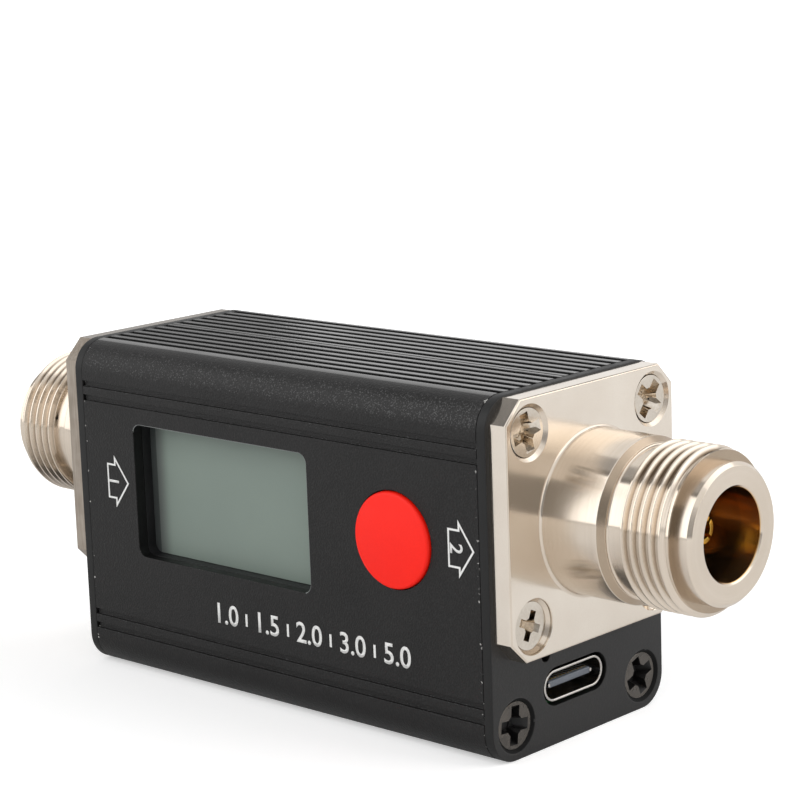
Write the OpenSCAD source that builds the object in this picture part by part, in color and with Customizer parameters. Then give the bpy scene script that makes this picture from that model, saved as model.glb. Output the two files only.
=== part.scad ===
// In-line radio meter: a ribbed tube with a flange jack at each end, a display and one push button.
// Millimetres. +X points to the right-hand jack, the front face looks along -Y and +Z is up.
// The origin is the centre of the underside.

/* [Case] */
// Length of the extruded tube
case_l = 55; // [52:0.5:70]
// Depth of the tube, front to back
case_d = 26; // [25.6:0.1:30]
// Height of the tube
case_h = 35.2; // [34:0.1:42]
// Radius of the four long edges
case_r = 3.2; // [2.6:0.1:3.4]
// Wall thickness of the tube
wall = 1.2; // [1:0.05:1.5]
// Radius of the wall around each screw channel
channel_wall_r = 2.3; // [2:0.1:2.5]
// Height of the rails that guide the boards
rail_h = 1.2; // [0.8:0.1:1.5]
// Thickness of the rails that guide the boards
rail_w = 0.8; // [0.6:0.1:1]

/* [Ribs and grooves] */
// Distance between neighbouring ribs on the top and the underside
rib_pitch = 1.63; // [1.5:0.01:1.66]
// Width of a groove between two ribs
rib_groove_w = 0.8; // [0.5:0.05:1]
// Depth of a groove between two ribs
rib_groove_depth = 0.5; // [0.2:0.05:0.6]
// Grooves on each side of the middle rib
rib_grooves = 6; // [3:1:6]
// Width of the middle rib
middle_rib_w = 1.4; // [1:0.1:1.6]
// Width of the marking line along the middle of the top
centre_line_w = 0.24; // [0.1:0.02:0.4]
// Width of a long groove on the front and back
face_groove_w = 0.6; // [0.4:0.05:0.8]
// Depth of a long groove on the front and back
face_groove_depth = 0.3; // [0.1:0.05:0.5]
// Distance between neighbouring grooves on the front and back
face_groove_pitch = 1.5; // [1.2:0.1:1.7]
// Distance from the top or bottom edge to the first groove
face_groove_inset = 4.1; // [3.6:0.1:4.6]

/* [End panels] */
// Thickness of an end panel
panel_t = 1.1; // [1:0.05:1.5]
// Distance of the lower panel screws from the front and back faces
low_screw_inset = 3.4; // [3.2:0.1:3.8]
// Height of the lower panel screws above the underside
low_screw_z = 3.4; // [3.2:0.1:3.8]
// Diameter of the round hole for the charging light
led_hole_d = 1.2; // [0.8:0.1:1.6]

/* [Jacks] */
// Width of a standard square flange
flange_max_w = 25; // [23:0.1:25]
// Thickness of the flange
flange_t = 2.1; // [1.8:0.1:3]
// Corner cut of the flange
flange_chamfer = 2.15; // [1:0.05:2.6]
// Distance from the top of the case down to the flange
flange_top_gap = 0.15; // [0:0.05:1]
// Smallest distance from the flange's sides to the front and back of the case
flange_side_gap = 0.5; // [0.3:0.05:1]
// Height of the panel that stays free under the flange
under_flange_h = 10.05; // [9.5:0.05:11]
// Distance of the flange screws from the flange's edges
flange_hole_inset = 3.3; // [3.1:0.05:3.6]
// Diameter of the plain barrel next to the flange
barrel_d = 16; // [15:0.1:17]
// Length of the plain barrel
barrel_l = 6.5; // [5:0.1:9]
// Chamfer at the barrel's front edge
barrel_edge = 0.6; // [0.2:0.05:0.7]
// Diameter of the relief between barrel and thread
neck_d = 14.3; // [13.6:0.1:14.5]
// Length of the relief between barrel and thread
neck_l = 1.8; // [1:0.05:3]
// Outside diameter of the coupling thread
thread_d = 15.875; // [15.6:0.005:16.2]
// Pitch of the coupling thread
thread_pitch = 1.058; // [1:0.002:1.2]
// Depth of the coupling thread
thread_depth = 0.5; // [0.4:0.05:0.7]
// Width of the flat on each ridge of the coupling thread
thread_crest_w = 0.16; // [0.1:0.02:0.5]
// Ridges of the coupling thread
thread_ridges = 5; // [3:1:6]
// Length of the chamfer that leads onto the thread
lead_l = 0.6; // [0.4:0.02:1]
// Depth of the chamfer that leads onto the thread
lead_depth = 0.32; // [0.2:0.02:0.4]
// Diameter of the plain ring at the front
ring_d = 13.4; // [12.4:0.1:13.8]
// Length of the plain ring at the front
ring_l = 1.7; // [1:0.05:2.5]
// Chamfer at the ring's front edge
ring_edge = 0.35; // [0.1:0.05:0.4]
// Diameter of the socket
bore_d = 8.8; // [8.4:0.1:9.2]
// Chamfer at the socket's mouth
bore_chamfer = 0.2; // [0.1:0.05:0.6]
// Depth of the socket, from its mouth to the insulator
socket_depth = 10.5; // [9:0.1:12]
// Diameter of the spigot behind the flange
spigot_d = 11; // [10:0.1:12]
// Length of the spigot behind the panel
spigot_l = 0.9; // [0.5:0.1:1.5]
// Length of insulator that shows behind the spigot
insulator_tail = 1.4; // [0.5:0.1:2]

/* [Centre contact] */
// Diameter of the slotted socket contact
contact_d = 3; // [2.6:0.05:3.2]
// Distance of the contact's tip from the mouth
contact_recess = 3.2; // [3:0.1:5]
// Diameter of the hole in the contact
contact_hole_d = 1.7; // [1.5:0.05:1.9]
// Depth of the hole in the contact
contact_hole_depth = 5; // [4:0.1:6]
// Width of the contact's slots
contact_slot_w = 0.3; // [0.2:0.05:0.4]
// Length of the contact's slots
contact_slot_l = 4; // [3:0.1:4.5]
// Diameter of the contact's rear pin
pin_d = 1.5; // [1.2:0.05:1.8]
// Length of the pin behind the insulator
pin_tail = 3.5; // [2.5:0.1:5]

/* [Screws] */
// Thread diameter of all screws
screw_d = 2.5; // [2.2:0.1:2.6]
// Diameter of the flat screw heads
screw_head_d = 4.7; // [4.2:0.1:4.9]
// Diameter of the countersinks at the surface
sink_d = 5.3; // [5.1:0.05:5.5]
// Radial clearance around a screw in a plain hole
screw_clear = 0.2; // [0.1:0.05:0.3]
// Length of the screws that reach into the tube's channels
long_screw_l = 8; // [6:0.5:12]
// Length of the screws that end in a nut
short_screw_l = 6; // [5.4:0.1:7]
// Extra depth of the lower flange screws below the flange's face
low_screw_drop = 0.27; // [0:0.01:0.5]
// Width of the arms of the large cross recess
large_recess_w = 1.15; // [0.8:0.05:1.3]
// Span of the arms of the large cross recess
large_recess_span = 3.9; // [3:0.1:4.1]
// Width of the arms of the small cross recess, on the lower flange screws
small_recess_w = 0.8; // [0.5:0.05:0.9]
// Span of the arms of the small cross recess, on the lower flange screws
small_recess_span = 3; // [2:0.1:3.4]
// Depth of the cross recess
recess_depth = 1.1; // [0.6:0.1:1.4]
// Outside diameter of a clinch nut
nut_d = 4.4; // [4:0.1:4.8]
// Length of a clinch nut
nut_l = 2; // [1.5:0.1:2.4]

/* [Window and display] */
// Width of the display window
window_w = 25.2; // [22:0.1:27]
// Height of the display window
window_h = 14.1; // [12:0.1:15.4]
// Corner radius of the display window
window_r = 1; // [0.5:0.1:2]
// Distance from the top of the case to the window
window_top = 7.95; // [7.4:0.05:10]
// Shift of the window and button from the middle of the case
group_shift = 0.8; // [-1:0.1:1]
// Distance of the display's surface behind the front face
display_setback = 2.3; // [2:0.1:3]
// Thickness of the front film
polariser_t = 0.2; // [0.1:0.05:0.3]
// Thickness of the display glass
glass_t = 2; // [1.4:0.1:2.4]
// Overlap of the glass behind the frame
glass_overlap = 0.8; // [0.5:0.1:1]
// Wall thickness of the display's frame
frame_wall = 0.6; // [0.4:0.1:0.8]
// Number of connecting pins on the display
lcd_pin_count = 10; // [6:1:12]
// Distance between the display's pins
lcd_pin_pitch = 2; // [1.5:0.1:2.2]

/* [Button] */
// Diameter of the button
button_d = 9.5; // [8:0.1:10.5]
// Distance between window and button
button_gap = 6.6; // [5:0.1:8]
// Height of the button's centre above the window's centre
button_lift = 0.15; // [-1:0.05:1]
// Height of the button's crown above the front face
button_rise = 0.7; // [0.5:0.05:1.5]
// Rise of the crown from its edge to its middle
button_dome = 0.35; // [0.1:0.05:0.6]
// Rounding of the button's edge
button_edge_r = 0.35; // [0.2:0.05:0.5]
// Travel of the button
button_travel = 0.3; // [0.2:0.05:0.35]
// Radial clearance between button and case
button_clear = 0.1; // [0.05:0.01:0.15]
// Width of the lip that keeps the button in
button_lip_w = 0.7; // [0.5:0.1:1]
// Thickness of the lip that keeps the button in
button_lip_t = 0.8; // [0.6:0.1:0.9]

/* [Switch] */
// Width of the square switch body
switch_w = 6; // [5:0.1:6.5]
// Height of the switch with its cover
switch_h = 3.5; // [3.3:0.1:3.6]
// Thickness of the switch cover
switch_cover_t = 0.3; // [0.2:0.05:0.4]
// Diameter of the switch plunger
plunger_d = 3.5; // [3:0.1:3.8]
// Depth of the plunger's seat in the button
plunger_seat = 0.2; // [0.1:0.05:0.3]
// Diameter of the well in the switch body
switch_well_d = 5.2; // [4.6:0.1:5.4]
// Depth of the well in the switch body
switch_well_depth = 2.2; // [2:0.1:2.5]
// Height of the snap dome
snap_h = 0.5; // [0.4:0.05:0.6]
// Thickness of the snap dome
snap_t = 0.1; // [0.08:0.01:0.15]

/* [USB socket] */
// Width of the socket's metal shell
usb_w = 8.94; // [8.8:0.02:9.1]
// Height of the socket's metal shell
usb_h = 3.16; // [3:0.02:3.3]
// Length of the socket's metal shell
usb_l = 7.35; // [6.5:0.05:9]
// Wall thickness of the metal shell
usb_wall = 0.3; // [0.2:0.05:0.4]
// Distance of the socket's metal shell behind the display board
usb_board_gap = 0.28; // [0.1:0.02:1]
// Height of the socket's centre above the underside
usb_z = 5.76; // [5.5:0.02:6.2]
// Distance of the shell's rim behind the panel's face
usb_setback = 0.2; // [0:0.05:0.5]
// Clearance between shell and panel
usb_clear = 0.3; // [0.1:0.05:0.4]
// Width of the tongue in the socket
usb_tongue_w = 6.3; // [6:0.1:6.7]
// Thickness of the tongue in the socket
usb_tongue_t = 0.7; // [0.6:0.05:0.8]
// Distance of the tongue's tip behind the shell's rim
usb_tongue_setback = 0.5; // [0.3:0.05:1]
// Length of the plastic block at the back of the socket
usb_block_l = 2; // [1.5:0.1:2.5]
// Height of the charging light above the socket's metal shell
led_lift = 1.81; // [1.4:0.01:2]

/* [Boards] */
// Thickness of the display and coupler boards
board_t = 1.2; // [1:0.1:1.6]
// Clearance of a board in its slot
slot_clear = 0.05; // [0.02:0.01:0.1]
// Distance of the display board from the upper screw channels
board_channel_gap = 0.2; // [0.1:0.05:0.5]
// Distance of the boards from the tube's ends
board_end_gap = 2.6; // [2.5:0.1:4]
// Length of the charger board
charger_l = 34; // [26:0.5:40]
// Thickness of the charger board
charger_t = 1; // [0.8:0.1:1.2]
// Gap between the charger board and the display board
charger_gap = 0.5; // [0.3:0.1:1]
// Distance of the coupler board's lower edge below the jacks' axis
coupler_drop = 10.5; // [10:0.1:12]
// Thickness of a copper line
trace_t = 0.1; // [0.05:0.01:0.15]
// Width of the main copper line
through_line_w = 2.4; // [1.5:0.1:3]
// Length of the two sensing lines
sense_line_l = 12; // [8:0.5:14]
// Width of the two sensing lines
sense_line_w = 0.8; // [0.5:0.1:1]
// Distance of the sensing lines from the main line's axis
sense_line_offset = 2.6; // [2.3:0.1:3]
// Length of the shield over the sensing lines
shield_l = 21; // [19:0.5:24]
// Height of the shield along the board
shield_w = 11; // [9:0.5:12]
// Height of the shield above the board
shield_h = 2.6; // [1.6:0.1:3]
// Sheet thickness of the shield
shield_t = 0.25; // [0.15:0.05:0.3]
// Side length of the processor
processor_w = 7; // [5:0.5:9]
// Thickness of the processor
processor_t = 0.9; // [0.7:0.1:1.2]
// Number of pins between the two upright boards
header_pins = 5; // [3:1:6]

/* [Battery] */
// Length of the battery
battery_l = 34; // [28:0.5:38]
// Distance of the battery from the upper screw channels
battery_top_gap = 1.5; // [0.5:0.1:4]
// Thickness of the battery
battery_t = 5; // [4:0.1:6]
// Thickness of the foam tape behind the battery
battery_pad_t = 0.8; // [0.5:0.1:1.2]
// Sideways place of the battery's middle
battery_x = -3; // [-5:0.5:2]
// Length of the battery's two leads
lead_wire_l = 3.8; // [3.4:0.1:4.5]
// Diameter of the battery's two leads
lead_wire_d = 0.8; // [0.6:0.05:1]

/* [Hidden] */
$fn = 64;

// Small play between seated pieces and overshoot of the cuts
seat_gap = 0.02;
cut = 1;

// Faces of the tube
front_y = -case_d / 2;
inner_front_y = front_y + wall;
inner_back_y = case_d / 2 - wall;
end_x = case_l / 2;
panel_face_x = end_x + panel_t;
flange_face_x = panel_face_x + flange_t;

// Stations along a jack, counted outwards from the flange's outer face
flange_w = min(flange_max_w, case_d - 2 * flange_side_gap, case_h - flange_top_gap - under_flange_h);
flange_hole_spacing = flange_w - 2 * flange_hole_inset;
jack_z = case_h - flange_top_gap - flange_w / 2;
barrel_face_w = 0.1;
barrel_chamfer = min(barrel_edge, (barrel_d - neck_d) / 2 - barrel_face_w);
thread_start = barrel_l + barrel_chamfer + neck_l;
least_root_w = 0.04;
flank_w = min(thread_depth * tan(30), (thread_pitch - thread_crest_w - least_root_w) / 2);
last_crest = thread_start + (thread_ridges - 0.5) * thread_pitch + thread_crest_w / 2;
ring_start = last_crest + lead_l;
jack_l = ring_start + ring_l;
spigot_end = -flange_t - panel_t - spigot_l;
insulator_end = spigot_end - insulator_tail;
insulator_face = jack_l - socket_depth;
insulator_well = 1.5;
contact_tip = jack_l - contact_recess;
contact_bevel = 0.2;

// Screws: the heads sit a little below the surface, where the two cones meet
screw_head_h = (screw_head_d - screw_d) / 2;
head_sink = (sink_d - screw_head_d) / 2 - seat_gap;
plain_hole_d = screw_d + 2 * screw_clear;
channel_d = screw_d + 4 * seat_gap;
screw_tip = 0.3;
high_screw_y = flange_hole_spacing / 2;
high_screw_z = jack_z + flange_hole_spacing / 2;
low_screw_y = case_d / 2 - low_screw_inset;
flange_screw_turns = [[14, 52], [-24, 8]];
panel_screw_turns = [-6, 20];

// Window, display and button share one centred group on the front
group_w = window_w + button_gap + button_d;
window_x = group_shift - group_w / 2 + window_w / 2;
window_z = case_h - window_top - window_h / 2;
button_x = group_shift + group_w / 2 - button_d / 2;
button_z = window_z + button_lift;
lcd_y = front_y + display_setback;
glass_y = lcd_y + polariser_t;
backlight_y = glass_y + glass_t;
display_y = channel_wall_r + board_channel_gap - high_screw_y;
display_back_y = display_y + board_t;
frame_gap = 0.05;
glass_gap = 0.1;
glass_w = window_w + 2 * glass_overlap;
glass_h = window_h + 2 * glass_overlap;
lcd_pin_strip = 1.4;
lcd_pin_w = 0.4;

// Button and switch, from the front to the display board
button_lip_gap = 0.05;
button_crown_r = (pow(button_d / 2, 2) + pow(button_dome, 2)) / (2 * button_dome);
button_back_y = inner_front_y + button_lip_gap + button_lip_t;
plunger_top_y = button_back_y - plunger_seat;
switch_cover_y = display_y - switch_h;
switch_body_y = switch_cover_y + switch_cover_t;
switch_well_y = switch_body_y + switch_well_depth;
plunger_collar_w = 0.5;
plunger_collar_t = 0.4;
plunger_play = 0.05;
plunger_nub_d = 1.8;
snap_play = 0.4;
snap_d = switch_well_d - snap_play;
snap_r = (pow(snap_d / 2, 2) + pow(snap_h, 2)) / (2 * snap_h);
leg_t = 0.2;
leg_w = 0.7;
leg_foot = 1;

// Upright coupler board behind the contacts' pins
coupler_y = pin_d / 2 + seat_gap + trace_t;
coupler_z = jack_z - coupler_drop;
board_end_x = end_x - board_end_gap;
board_top_z = case_h - wall - slot_clear;
diode_l = 1.8;
diode_t = 0.95;
resistor_l = 2;
resistor_t = 0.5;
line_part_w = 1.25;
line_part_gap = 0.2;
line_part_x = sense_line_l / 2 + line_part_gap + resistor_l / 2;
header_pitch = 2.54;
header_block = 2.5;
header_pin_w = 0.6;
header_edge = 0.75;
header_z = coupler_z + header_edge + header_block / 2;

// Flat charger board under the socket
charger_top_z = usb_z - usb_h / 2;
charger_z = charger_top_z - charger_t;
charger_edge_gap = 0.2;
charger_end_x = end_x - charger_edge_gap;
charger_x = charger_end_x - charger_l;
charger_front_y = display_back_y + charger_gap;
charger_back_y = low_screw_y - channel_wall_r - charger_edge_gap;
usb_rim_x = panel_face_x - usb_setback;
usb_y = display_back_y + usb_board_gap + usb_w / 2;
charger_chip_l = 5;
charger_chip_w = 4;
charger_chip_t = 1.5;
pad_margin = 2;
link_pin_d = 0.6;
link_pin_l = 2.2;
link_pin_count = 4;
led_l = 1.6;
led_t = 0.8;
led_w = 1;
led_z = usb_z + usb_h / 2 + led_lift;
led_y = display_back_y + led_t / 2;

// Battery on foam tape against the back wall
battery_y = inner_back_y - battery_pad_t - battery_t;
battery_z = charger_top_z + lead_wire_l;
battery_h = high_screw_z - channel_wall_r - battery_top_gap - battery_z;
battery_r = 1;
lead_wire_x = 1.5;

// Helpers: a flat outline drawn in (Y, Z) and pushed along X
module along_x(x0, x1) {
    translate([x0, 0, 0]) rotate([90, 0, 90]) linear_extrude(height = x1 - x0) children();
}

// A flat outline drawn in (X, Z) and pushed along Y
module along_y(y0, y1) {
    translate([0, y1, 0]) rotate([90, 0, 0]) linear_extrude(height = y1 - y0) children();
}

// A box between two opposite corners
module box(low, high) {
    translate(low) cube(high - low);
}

// A box given by the middle of its size along X and Z and by its two faces along Y
module board_part(x, z, y0, y1, w, h) {
    box([x - w / 2, y0, z - h / 2], [x + w / 2, y1, z + h / 2]);
}

// The left end is the right end seen in a mirror
module on_side(side) {
    if (side == "right") {
        children();
    } else {
        mirror([1, 0, 0]) children();
    }
}

// A jack's own frame: +Z points outwards and zero is the flange's outer face
module jack_frame(side) {
    on_side(side) translate([flange_face_x, 0, jack_z]) rotate([0, 90, 0]) children();
}

// A panel screw's own frame: +Z points outwards and zero is the panel's outer face
module low_screw_frame(side, y_sign) {
    on_side(side) translate([panel_face_x, y_sign * low_screw_y, low_screw_z])
        rotate([0, 90, 0]) children();
}

// A frame on the front: +Z points to the viewer and zero is at the given depth
module front_frame(x, y, z) {
    translate([x, y, z]) rotate([90, 0, 0]) children();
}

module rounded_rect(w, h, r) {
    square([w - 2 * r, h], center = true);
    square([w, h - 2 * r], center = true);
    for (sx = [-1, 1], sy = [-1, 1]) {
        translate([sx * (w / 2 - r), sy * (h / 2 - r)]) circle(r = r);
    }
}

module stadium(w, h) {
    square([w - h, h], center = true);
    for (s = [-1, 1]) translate([s * (w - h) / 2, 0]) circle(d = h);
}

// Cone that widens from a plain hole to the countersink's rim at the surface
module countersink(hole_d) {
    depth = (sink_d - hole_d) / 2;
    translate([0, 0, -depth]) cylinder(h = depth, d1 = hole_d, d2 = sink_d);
    cylinder(h = cut, d = sink_d);
}

module cross_recess(w, span) {
    for (turn = [0, 90]) {
        rotate([0, 0, turn]) rotate([90, 0, 0]) linear_extrude(height = w, center = true)
            polygon([[-span / 2, cut], [span / 2, cut], [span / 2, 0], [w / 2, -recess_depth],
                     [-w / 2, -recess_depth], [-span / 2, 0]]);
    }
}

// Flat-head screw with its top at zero, pointing down
module flat_screw(length, turn, recess_w, recess_span) {
    difference() {
        rotate_extrude() polygon([[0, 0], [screw_head_d / 2, 0], [screw_d / 2, -screw_head_h],
                                  [screw_d / 2, screw_tip - length], [screw_d / 2 - screw_tip, -length],
                                  [0, -length]]);
        rotate([0, 0, turn]) cross_recess(recess_w, recess_span);
    }
}

// Casing
module case_outline() {
    translate([0, case_h / 2]) rounded_rect(case_d, case_h, case_r);
}

// One corner of the cavity, filled around a screw channel
module channel_wall(y, z, y_sign, z_sign) {
    y_out = y_sign * case_d / 2;
    z_out = z_sign > 0 ? case_h : 0;
    translate([y, z]) circle(r = channel_wall_r);
    translate([min(y, y_out), min(z - z_sign * channel_wall_r, z_out)])
        square([abs(y_out - y), abs(z_out - z) + channel_wall_r]);
    translate([min(y - y_sign * channel_wall_r, y_out), min(z, z_out)])
        square([abs(y_out - y) + channel_wall_r, abs(z_out - z)]);
}

// A pair of rails on both sides of a board, from the floor or from the ceiling
module slot_rails(board_y, z0, z1) {
    for (y = [board_y - slot_clear - rail_w, board_y + board_t + slot_clear]) {
        translate([y, z0]) square([rail_w, z1 - z0]);
    }
}

module case_cavity() {
    difference() {
        translate([0, case_h / 2]) rounded_rect(case_d - 2 * wall, case_h - 2 * wall, case_r - wall);
        for (s = [-1, 1]) {
            channel_wall(s * high_screw_y, high_screw_z, s, 1);
            channel_wall(s * low_screw_y, low_screw_z, s, -1);
        }
        slot_rails(display_y, 0, wall + rail_h);
        slot_rails(display_y, case_h - wall - rail_h, case_h);
        slot_rails(coupler_y, case_h - wall - rail_h, case_h);
    }
}

module case_grooves() {
    for (s = [-1, 1], i = [0 : rib_grooves - 1], z = [0, case_h]) {
        translate([s * (middle_rib_w / 2 + rib_groove_w / 2 + i * rib_pitch), z])
            square([rib_groove_w, 2 * rib_groove_depth], center = true);
    }
    for (s = [-1, 1], i = [0, 1]) {
        inset = face_groove_inset + face_groove_w / 2 + i * face_groove_pitch;
        for (z = [inset, case_h - inset]) {
            translate([s * case_d / 2, z]) square([2 * face_groove_depth, face_groove_w], center = true);
        }
    }
    translate([0, case_h]) rotate([0, 0, 45]) square(centre_line_w / sqrt(2), center = true);
}

module channel_holes() {
    for (s = [-1, 1]) {
        translate([s * high_screw_y, high_screw_z]) circle(d = channel_d);
        translate([s * low_screw_y, low_screw_z]) circle(d = channel_d);
    }
}

module window_outline() {
    translate([window_x, window_z]) rounded_rect(window_w, window_h, window_r);
}

module extruded_case() {
    color("#2c2b2b") difference() {
        along_x(-end_x, end_x) difference() {
            case_outline();
            case_cavity();
            case_grooves();
            channel_holes();
        }
        along_y(front_y - cut, inner_front_y + seat_gap) window_outline();
        along_y(front_y - cut, inner_front_y + seat_gap)
            translate([button_x, button_z]) circle(d = button_d + 2 * button_clear);
        for (side = ["left", "right"], s = [-1, 1]) {
            low_screw_frame(side, s) countersink(channel_d);
        }
    }
}

module panel_outline() {
    difference() {
        case_outline();
        translate([0, jack_z]) circle(d = spigot_d + 4 * seat_gap);
        for (sy = [-1, 1], sz = [-1, 1]) {
            translate([sy * flange_hole_spacing / 2, jack_z + sz * flange_hole_spacing / 2])
                circle(d = plain_hole_d);
        }
    }
}

module usb_cuts() {
    translate([usb_y, usb_z]) stadium(usb_w + 2 * usb_clear, usb_h + 2 * usb_clear);
    translate([led_y, led_z]) circle(d = led_hole_d);
}

module end_panel(side) {
    difference() {
        on_side(side) along_x(end_x, panel_face_x) difference() {
            panel_outline();
            if (side == "right") usb_cuts();
        }
        for (s = [-1, 1]) low_screw_frame(side, s) countersink(channel_d);
    }
}

module left_end_panel() {
    color("#333232") end_panel("left");
}

module right_end_panel() {
    color("#333232") end_panel("right");
}

// Jacks
function ridge_points(i) =
    let (middle = thread_start + (i + 0.5) * thread_pitch,
         crest = thread_d / 2,
         root = crest - thread_depth)
    i < thread_ridges - 1
        ? [[root, middle - thread_crest_w / 2 - flank_w], [crest, middle - thread_crest_w / 2],
           [crest, middle + thread_crest_w / 2], [root, middle + thread_crest_w / 2 + flank_w]]
        : [[root, middle - thread_crest_w / 2 - flank_w], [crest, middle - thread_crest_w / 2],
           [crest, middle + thread_crest_w / 2]];

function jack_outline() = concat(
    [[0, spigot_end], [spigot_d / 2, spigot_end], [spigot_d / 2, -flange_t], [barrel_d / 2, -flange_t],
     [barrel_d / 2, barrel_l], [barrel_d / 2 - barrel_chamfer, barrel_l + barrel_chamfer],
     [neck_d / 2, barrel_l + barrel_chamfer], [neck_d / 2, thread_start]],
    [for (i = [0 : thread_ridges - 1]) each ridge_points(i)],
    [[thread_d / 2 - lead_depth, ring_start], [ring_d / 2, ring_start], [ring_d / 2, jack_l - ring_edge],
     [ring_d / 2 - ring_edge, jack_l], [0, jack_l]]
);

module flange_outline() {
    half = flange_w / 2;
    inner = half - flange_chamfer;
    polygon([[-half, -inner], [-inner, -half], [inner, -half], [half, -inner],
             [half, inner], [inner, half], [-inner, half], [-half, inner]]);
}

// Row 0 is the upper one; the lower row lies deeper in the flange
module flange_screw_places() {
    for (i = [0, 1], j = [0, 1]) {
        translate([(i - 0.5) * flange_hole_spacing, (j - 0.5) * flange_hole_spacing,
                   -i * low_screw_drop]) {
            $row = i;
            $column = j;
            children();
        }
    }
}

module connector_body(side) {
    jack_frame(side) difference() {
        union() {
            rotate_extrude() polygon(jack_outline());
            translate([0, 0, -flange_t]) linear_extrude(height = flange_t) flange_outline();
        }
        translate([0, 0, spigot_end - cut]) cylinder(h = jack_l - spigot_end + 2 * cut, d = bore_d);
        translate([0, 0, jack_l - bore_chamfer])
            cylinder(h = 2 * bore_chamfer, d1 = bore_d, d2 = bore_d + 4 * bore_chamfer);
        flange_screw_places() {
            countersink(plain_hole_d);
            translate([0, 0, -flange_t - cut]) cylinder(h = flange_t + cut, d = plain_hole_d);
        }
    }
}

module left_connector_body() {
    color("#cfc6ba") connector_body("left");
}

module right_connector_body() {
    color("#cfc6ba") connector_body("right");
}

module insulator(side) {
    inner = pin_d / 2 + seat_gap;
    well = contact_d / 2 + seat_gap;
    outer = bore_d / 2 - seat_gap;
    jack_frame(side) rotate_extrude()
        polygon([[inner, insulator_end], [outer, insulator_end], [outer, insulator_face],
                 [well, insulator_face], [well, insulator_face - insulator_well],
                 [inner, insulator_face - insulator_well]]);
}

module left_insulator() {
    color("#f2f0ea") insulator("left");
}

module right_insulator() {
    color("#f2f0ea") insulator("right");
}

module contact(side) {
    jack_frame(side) difference() {
        rotate_extrude()
            polygon([[0, insulator_end - pin_tail], [pin_d / 2, insulator_end - pin_tail],
                     [pin_d / 2, insulator_face - insulator_well],
                     [contact_d / 2, insulator_face - insulator_well],
                     [contact_d / 2, contact_tip - contact_bevel],
                     [contact_d / 2 - contact_bevel, contact_tip], [0, contact_tip]]);
        translate([0, 0, contact_tip - contact_hole_depth])
            cylinder(h = contact_hole_depth + cut, d = contact_hole_d);
        for (turn = [45, 135]) {
            rotate([0, 0, turn])
                translate([-contact_d / 2 - cut, -contact_slot_w / 2, contact_tip - contact_slot_l])
                cube([contact_d + 2 * cut, contact_slot_w, contact_slot_l + cut]);
        }
    }
}

module left_contact() {
    color("#e0b84a") contact("left");
}

module right_contact() {
    color("#e0b84a") contact("right");
}

// The upper screws reach into the tube's channels, the lower ones end in the nuts
module flange_screws(side) {
    jack_frame(side) flange_screw_places() {
        turn = flange_screw_turns[$row][$column];
        translate([0, 0, -head_sink]) {
            if ($row == 0) {
                flat_screw(long_screw_l, turn, large_recess_w, large_recess_span);
            } else {
                flat_screw(short_screw_l, turn, small_recess_w, small_recess_span);
            }
        }
    }
}

module left_flange_screws() {
    color("#d9d3c9") flange_screws("left");
}

module right_flange_screws() {
    color("#d9d3c9") flange_screws("right");
}

module flange_nuts(side) {
    for (s = [-1, 1]) {
        on_side(side) along_x(end_x - nut_l, end_x)
            translate([s * flange_hole_spacing / 2, jack_z - flange_hole_spacing / 2]) difference() {
                circle(d = nut_d);
                circle(d = channel_d);
            }
    }
}

module left_flange_nuts() {
    color("#b9b4aa") flange_nuts("left");
}

module right_flange_nuts() {
    color("#b9b4aa") flange_nuts("right");
}

module panel_screws(side) {
    for (i = [0, 1]) {
        low_screw_frame(side, 2 * i - 1) translate([0, 0, -head_sink])
            flat_screw(long_screw_l, panel_screw_turns[i], large_recess_w, large_recess_span);
    }
}

module left_panel_screws() {
    color("#3e3c39") panel_screws("left");
}

module right_panel_screws() {
    color("#3e3c39") panel_screws("right");
}

// Button: half of its section, with zero at the inside of the front wall
module button_section() {
    r = button_d / 2;
    crown = wall + button_rise;
    shoulder = r - button_edge_r;
    edge = crown - button_crown_r + sqrt(pow(button_crown_r, 2) - pow(shoulder, 2));
    base = -button_lip_gap - button_lip_t;
    translate([0, base]) square([r + button_lip_w, button_lip_t]);
    translate([0, base]) square([r, edge - button_edge_r - base]);
    translate([shoulder, edge - button_edge_r]) circle(r = button_edge_r);
    intersection() {
        translate([0, base]) square([shoulder, crown - base]);
        translate([0, crown - button_crown_r]) circle(r = button_crown_r, $fn = 256);
    }
}

module button_cap() {
    color("#e32a1e") difference() {
        front_frame(button_x, inner_front_y, button_z) rotate_extrude() button_section();
        along_y(plunger_top_y, button_back_y + cut)
            translate([button_x, button_z]) circle(d = plunger_d + 4 * seat_gap);
    }
}

module button_disc(y0, y1, d) {
    along_y(y0, y1) translate([button_x, button_z]) circle(d = d);
}

module switch_plunger() {
    collar_y = switch_body_y + plunger_play;
    nub_y = switch_well_y - snap_h - seat_gap;
    color("#1c1c1d") union() {
        button_disc(plunger_top_y, collar_y + plunger_collar_t, plunger_d);
        button_disc(collar_y, collar_y + plunger_collar_t, plunger_d + 2 * plunger_collar_w);
        button_disc(collar_y, nub_y, plunger_nub_d);
    }
}

module switch_body() {
    color("#202022") difference() {
        board_part(button_x, button_z, switch_body_y, display_y, switch_w, switch_w);
        button_disc(switch_body_y - cut, switch_well_y, switch_well_d);
    }
}

module switch_cover() {
    color("#c9c9c6") difference() {
        board_part(button_x, button_z, switch_cover_y, switch_body_y, switch_w, switch_w);
        button_disc(switch_cover_y - cut, switch_body_y + cut, plunger_d + 2 * button_clear);
    }
}

// Half of the dome's section, with zero at the floor of the well
module snap_section() {
    intersection() {
        translate([0, snap_h - snap_r]) difference() {
            circle(r = snap_r, $fn = 360);
            circle(r = snap_r - snap_t, $fn = 360);
        }
        square([snap_d / 2, snap_h]);
    }
}

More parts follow.
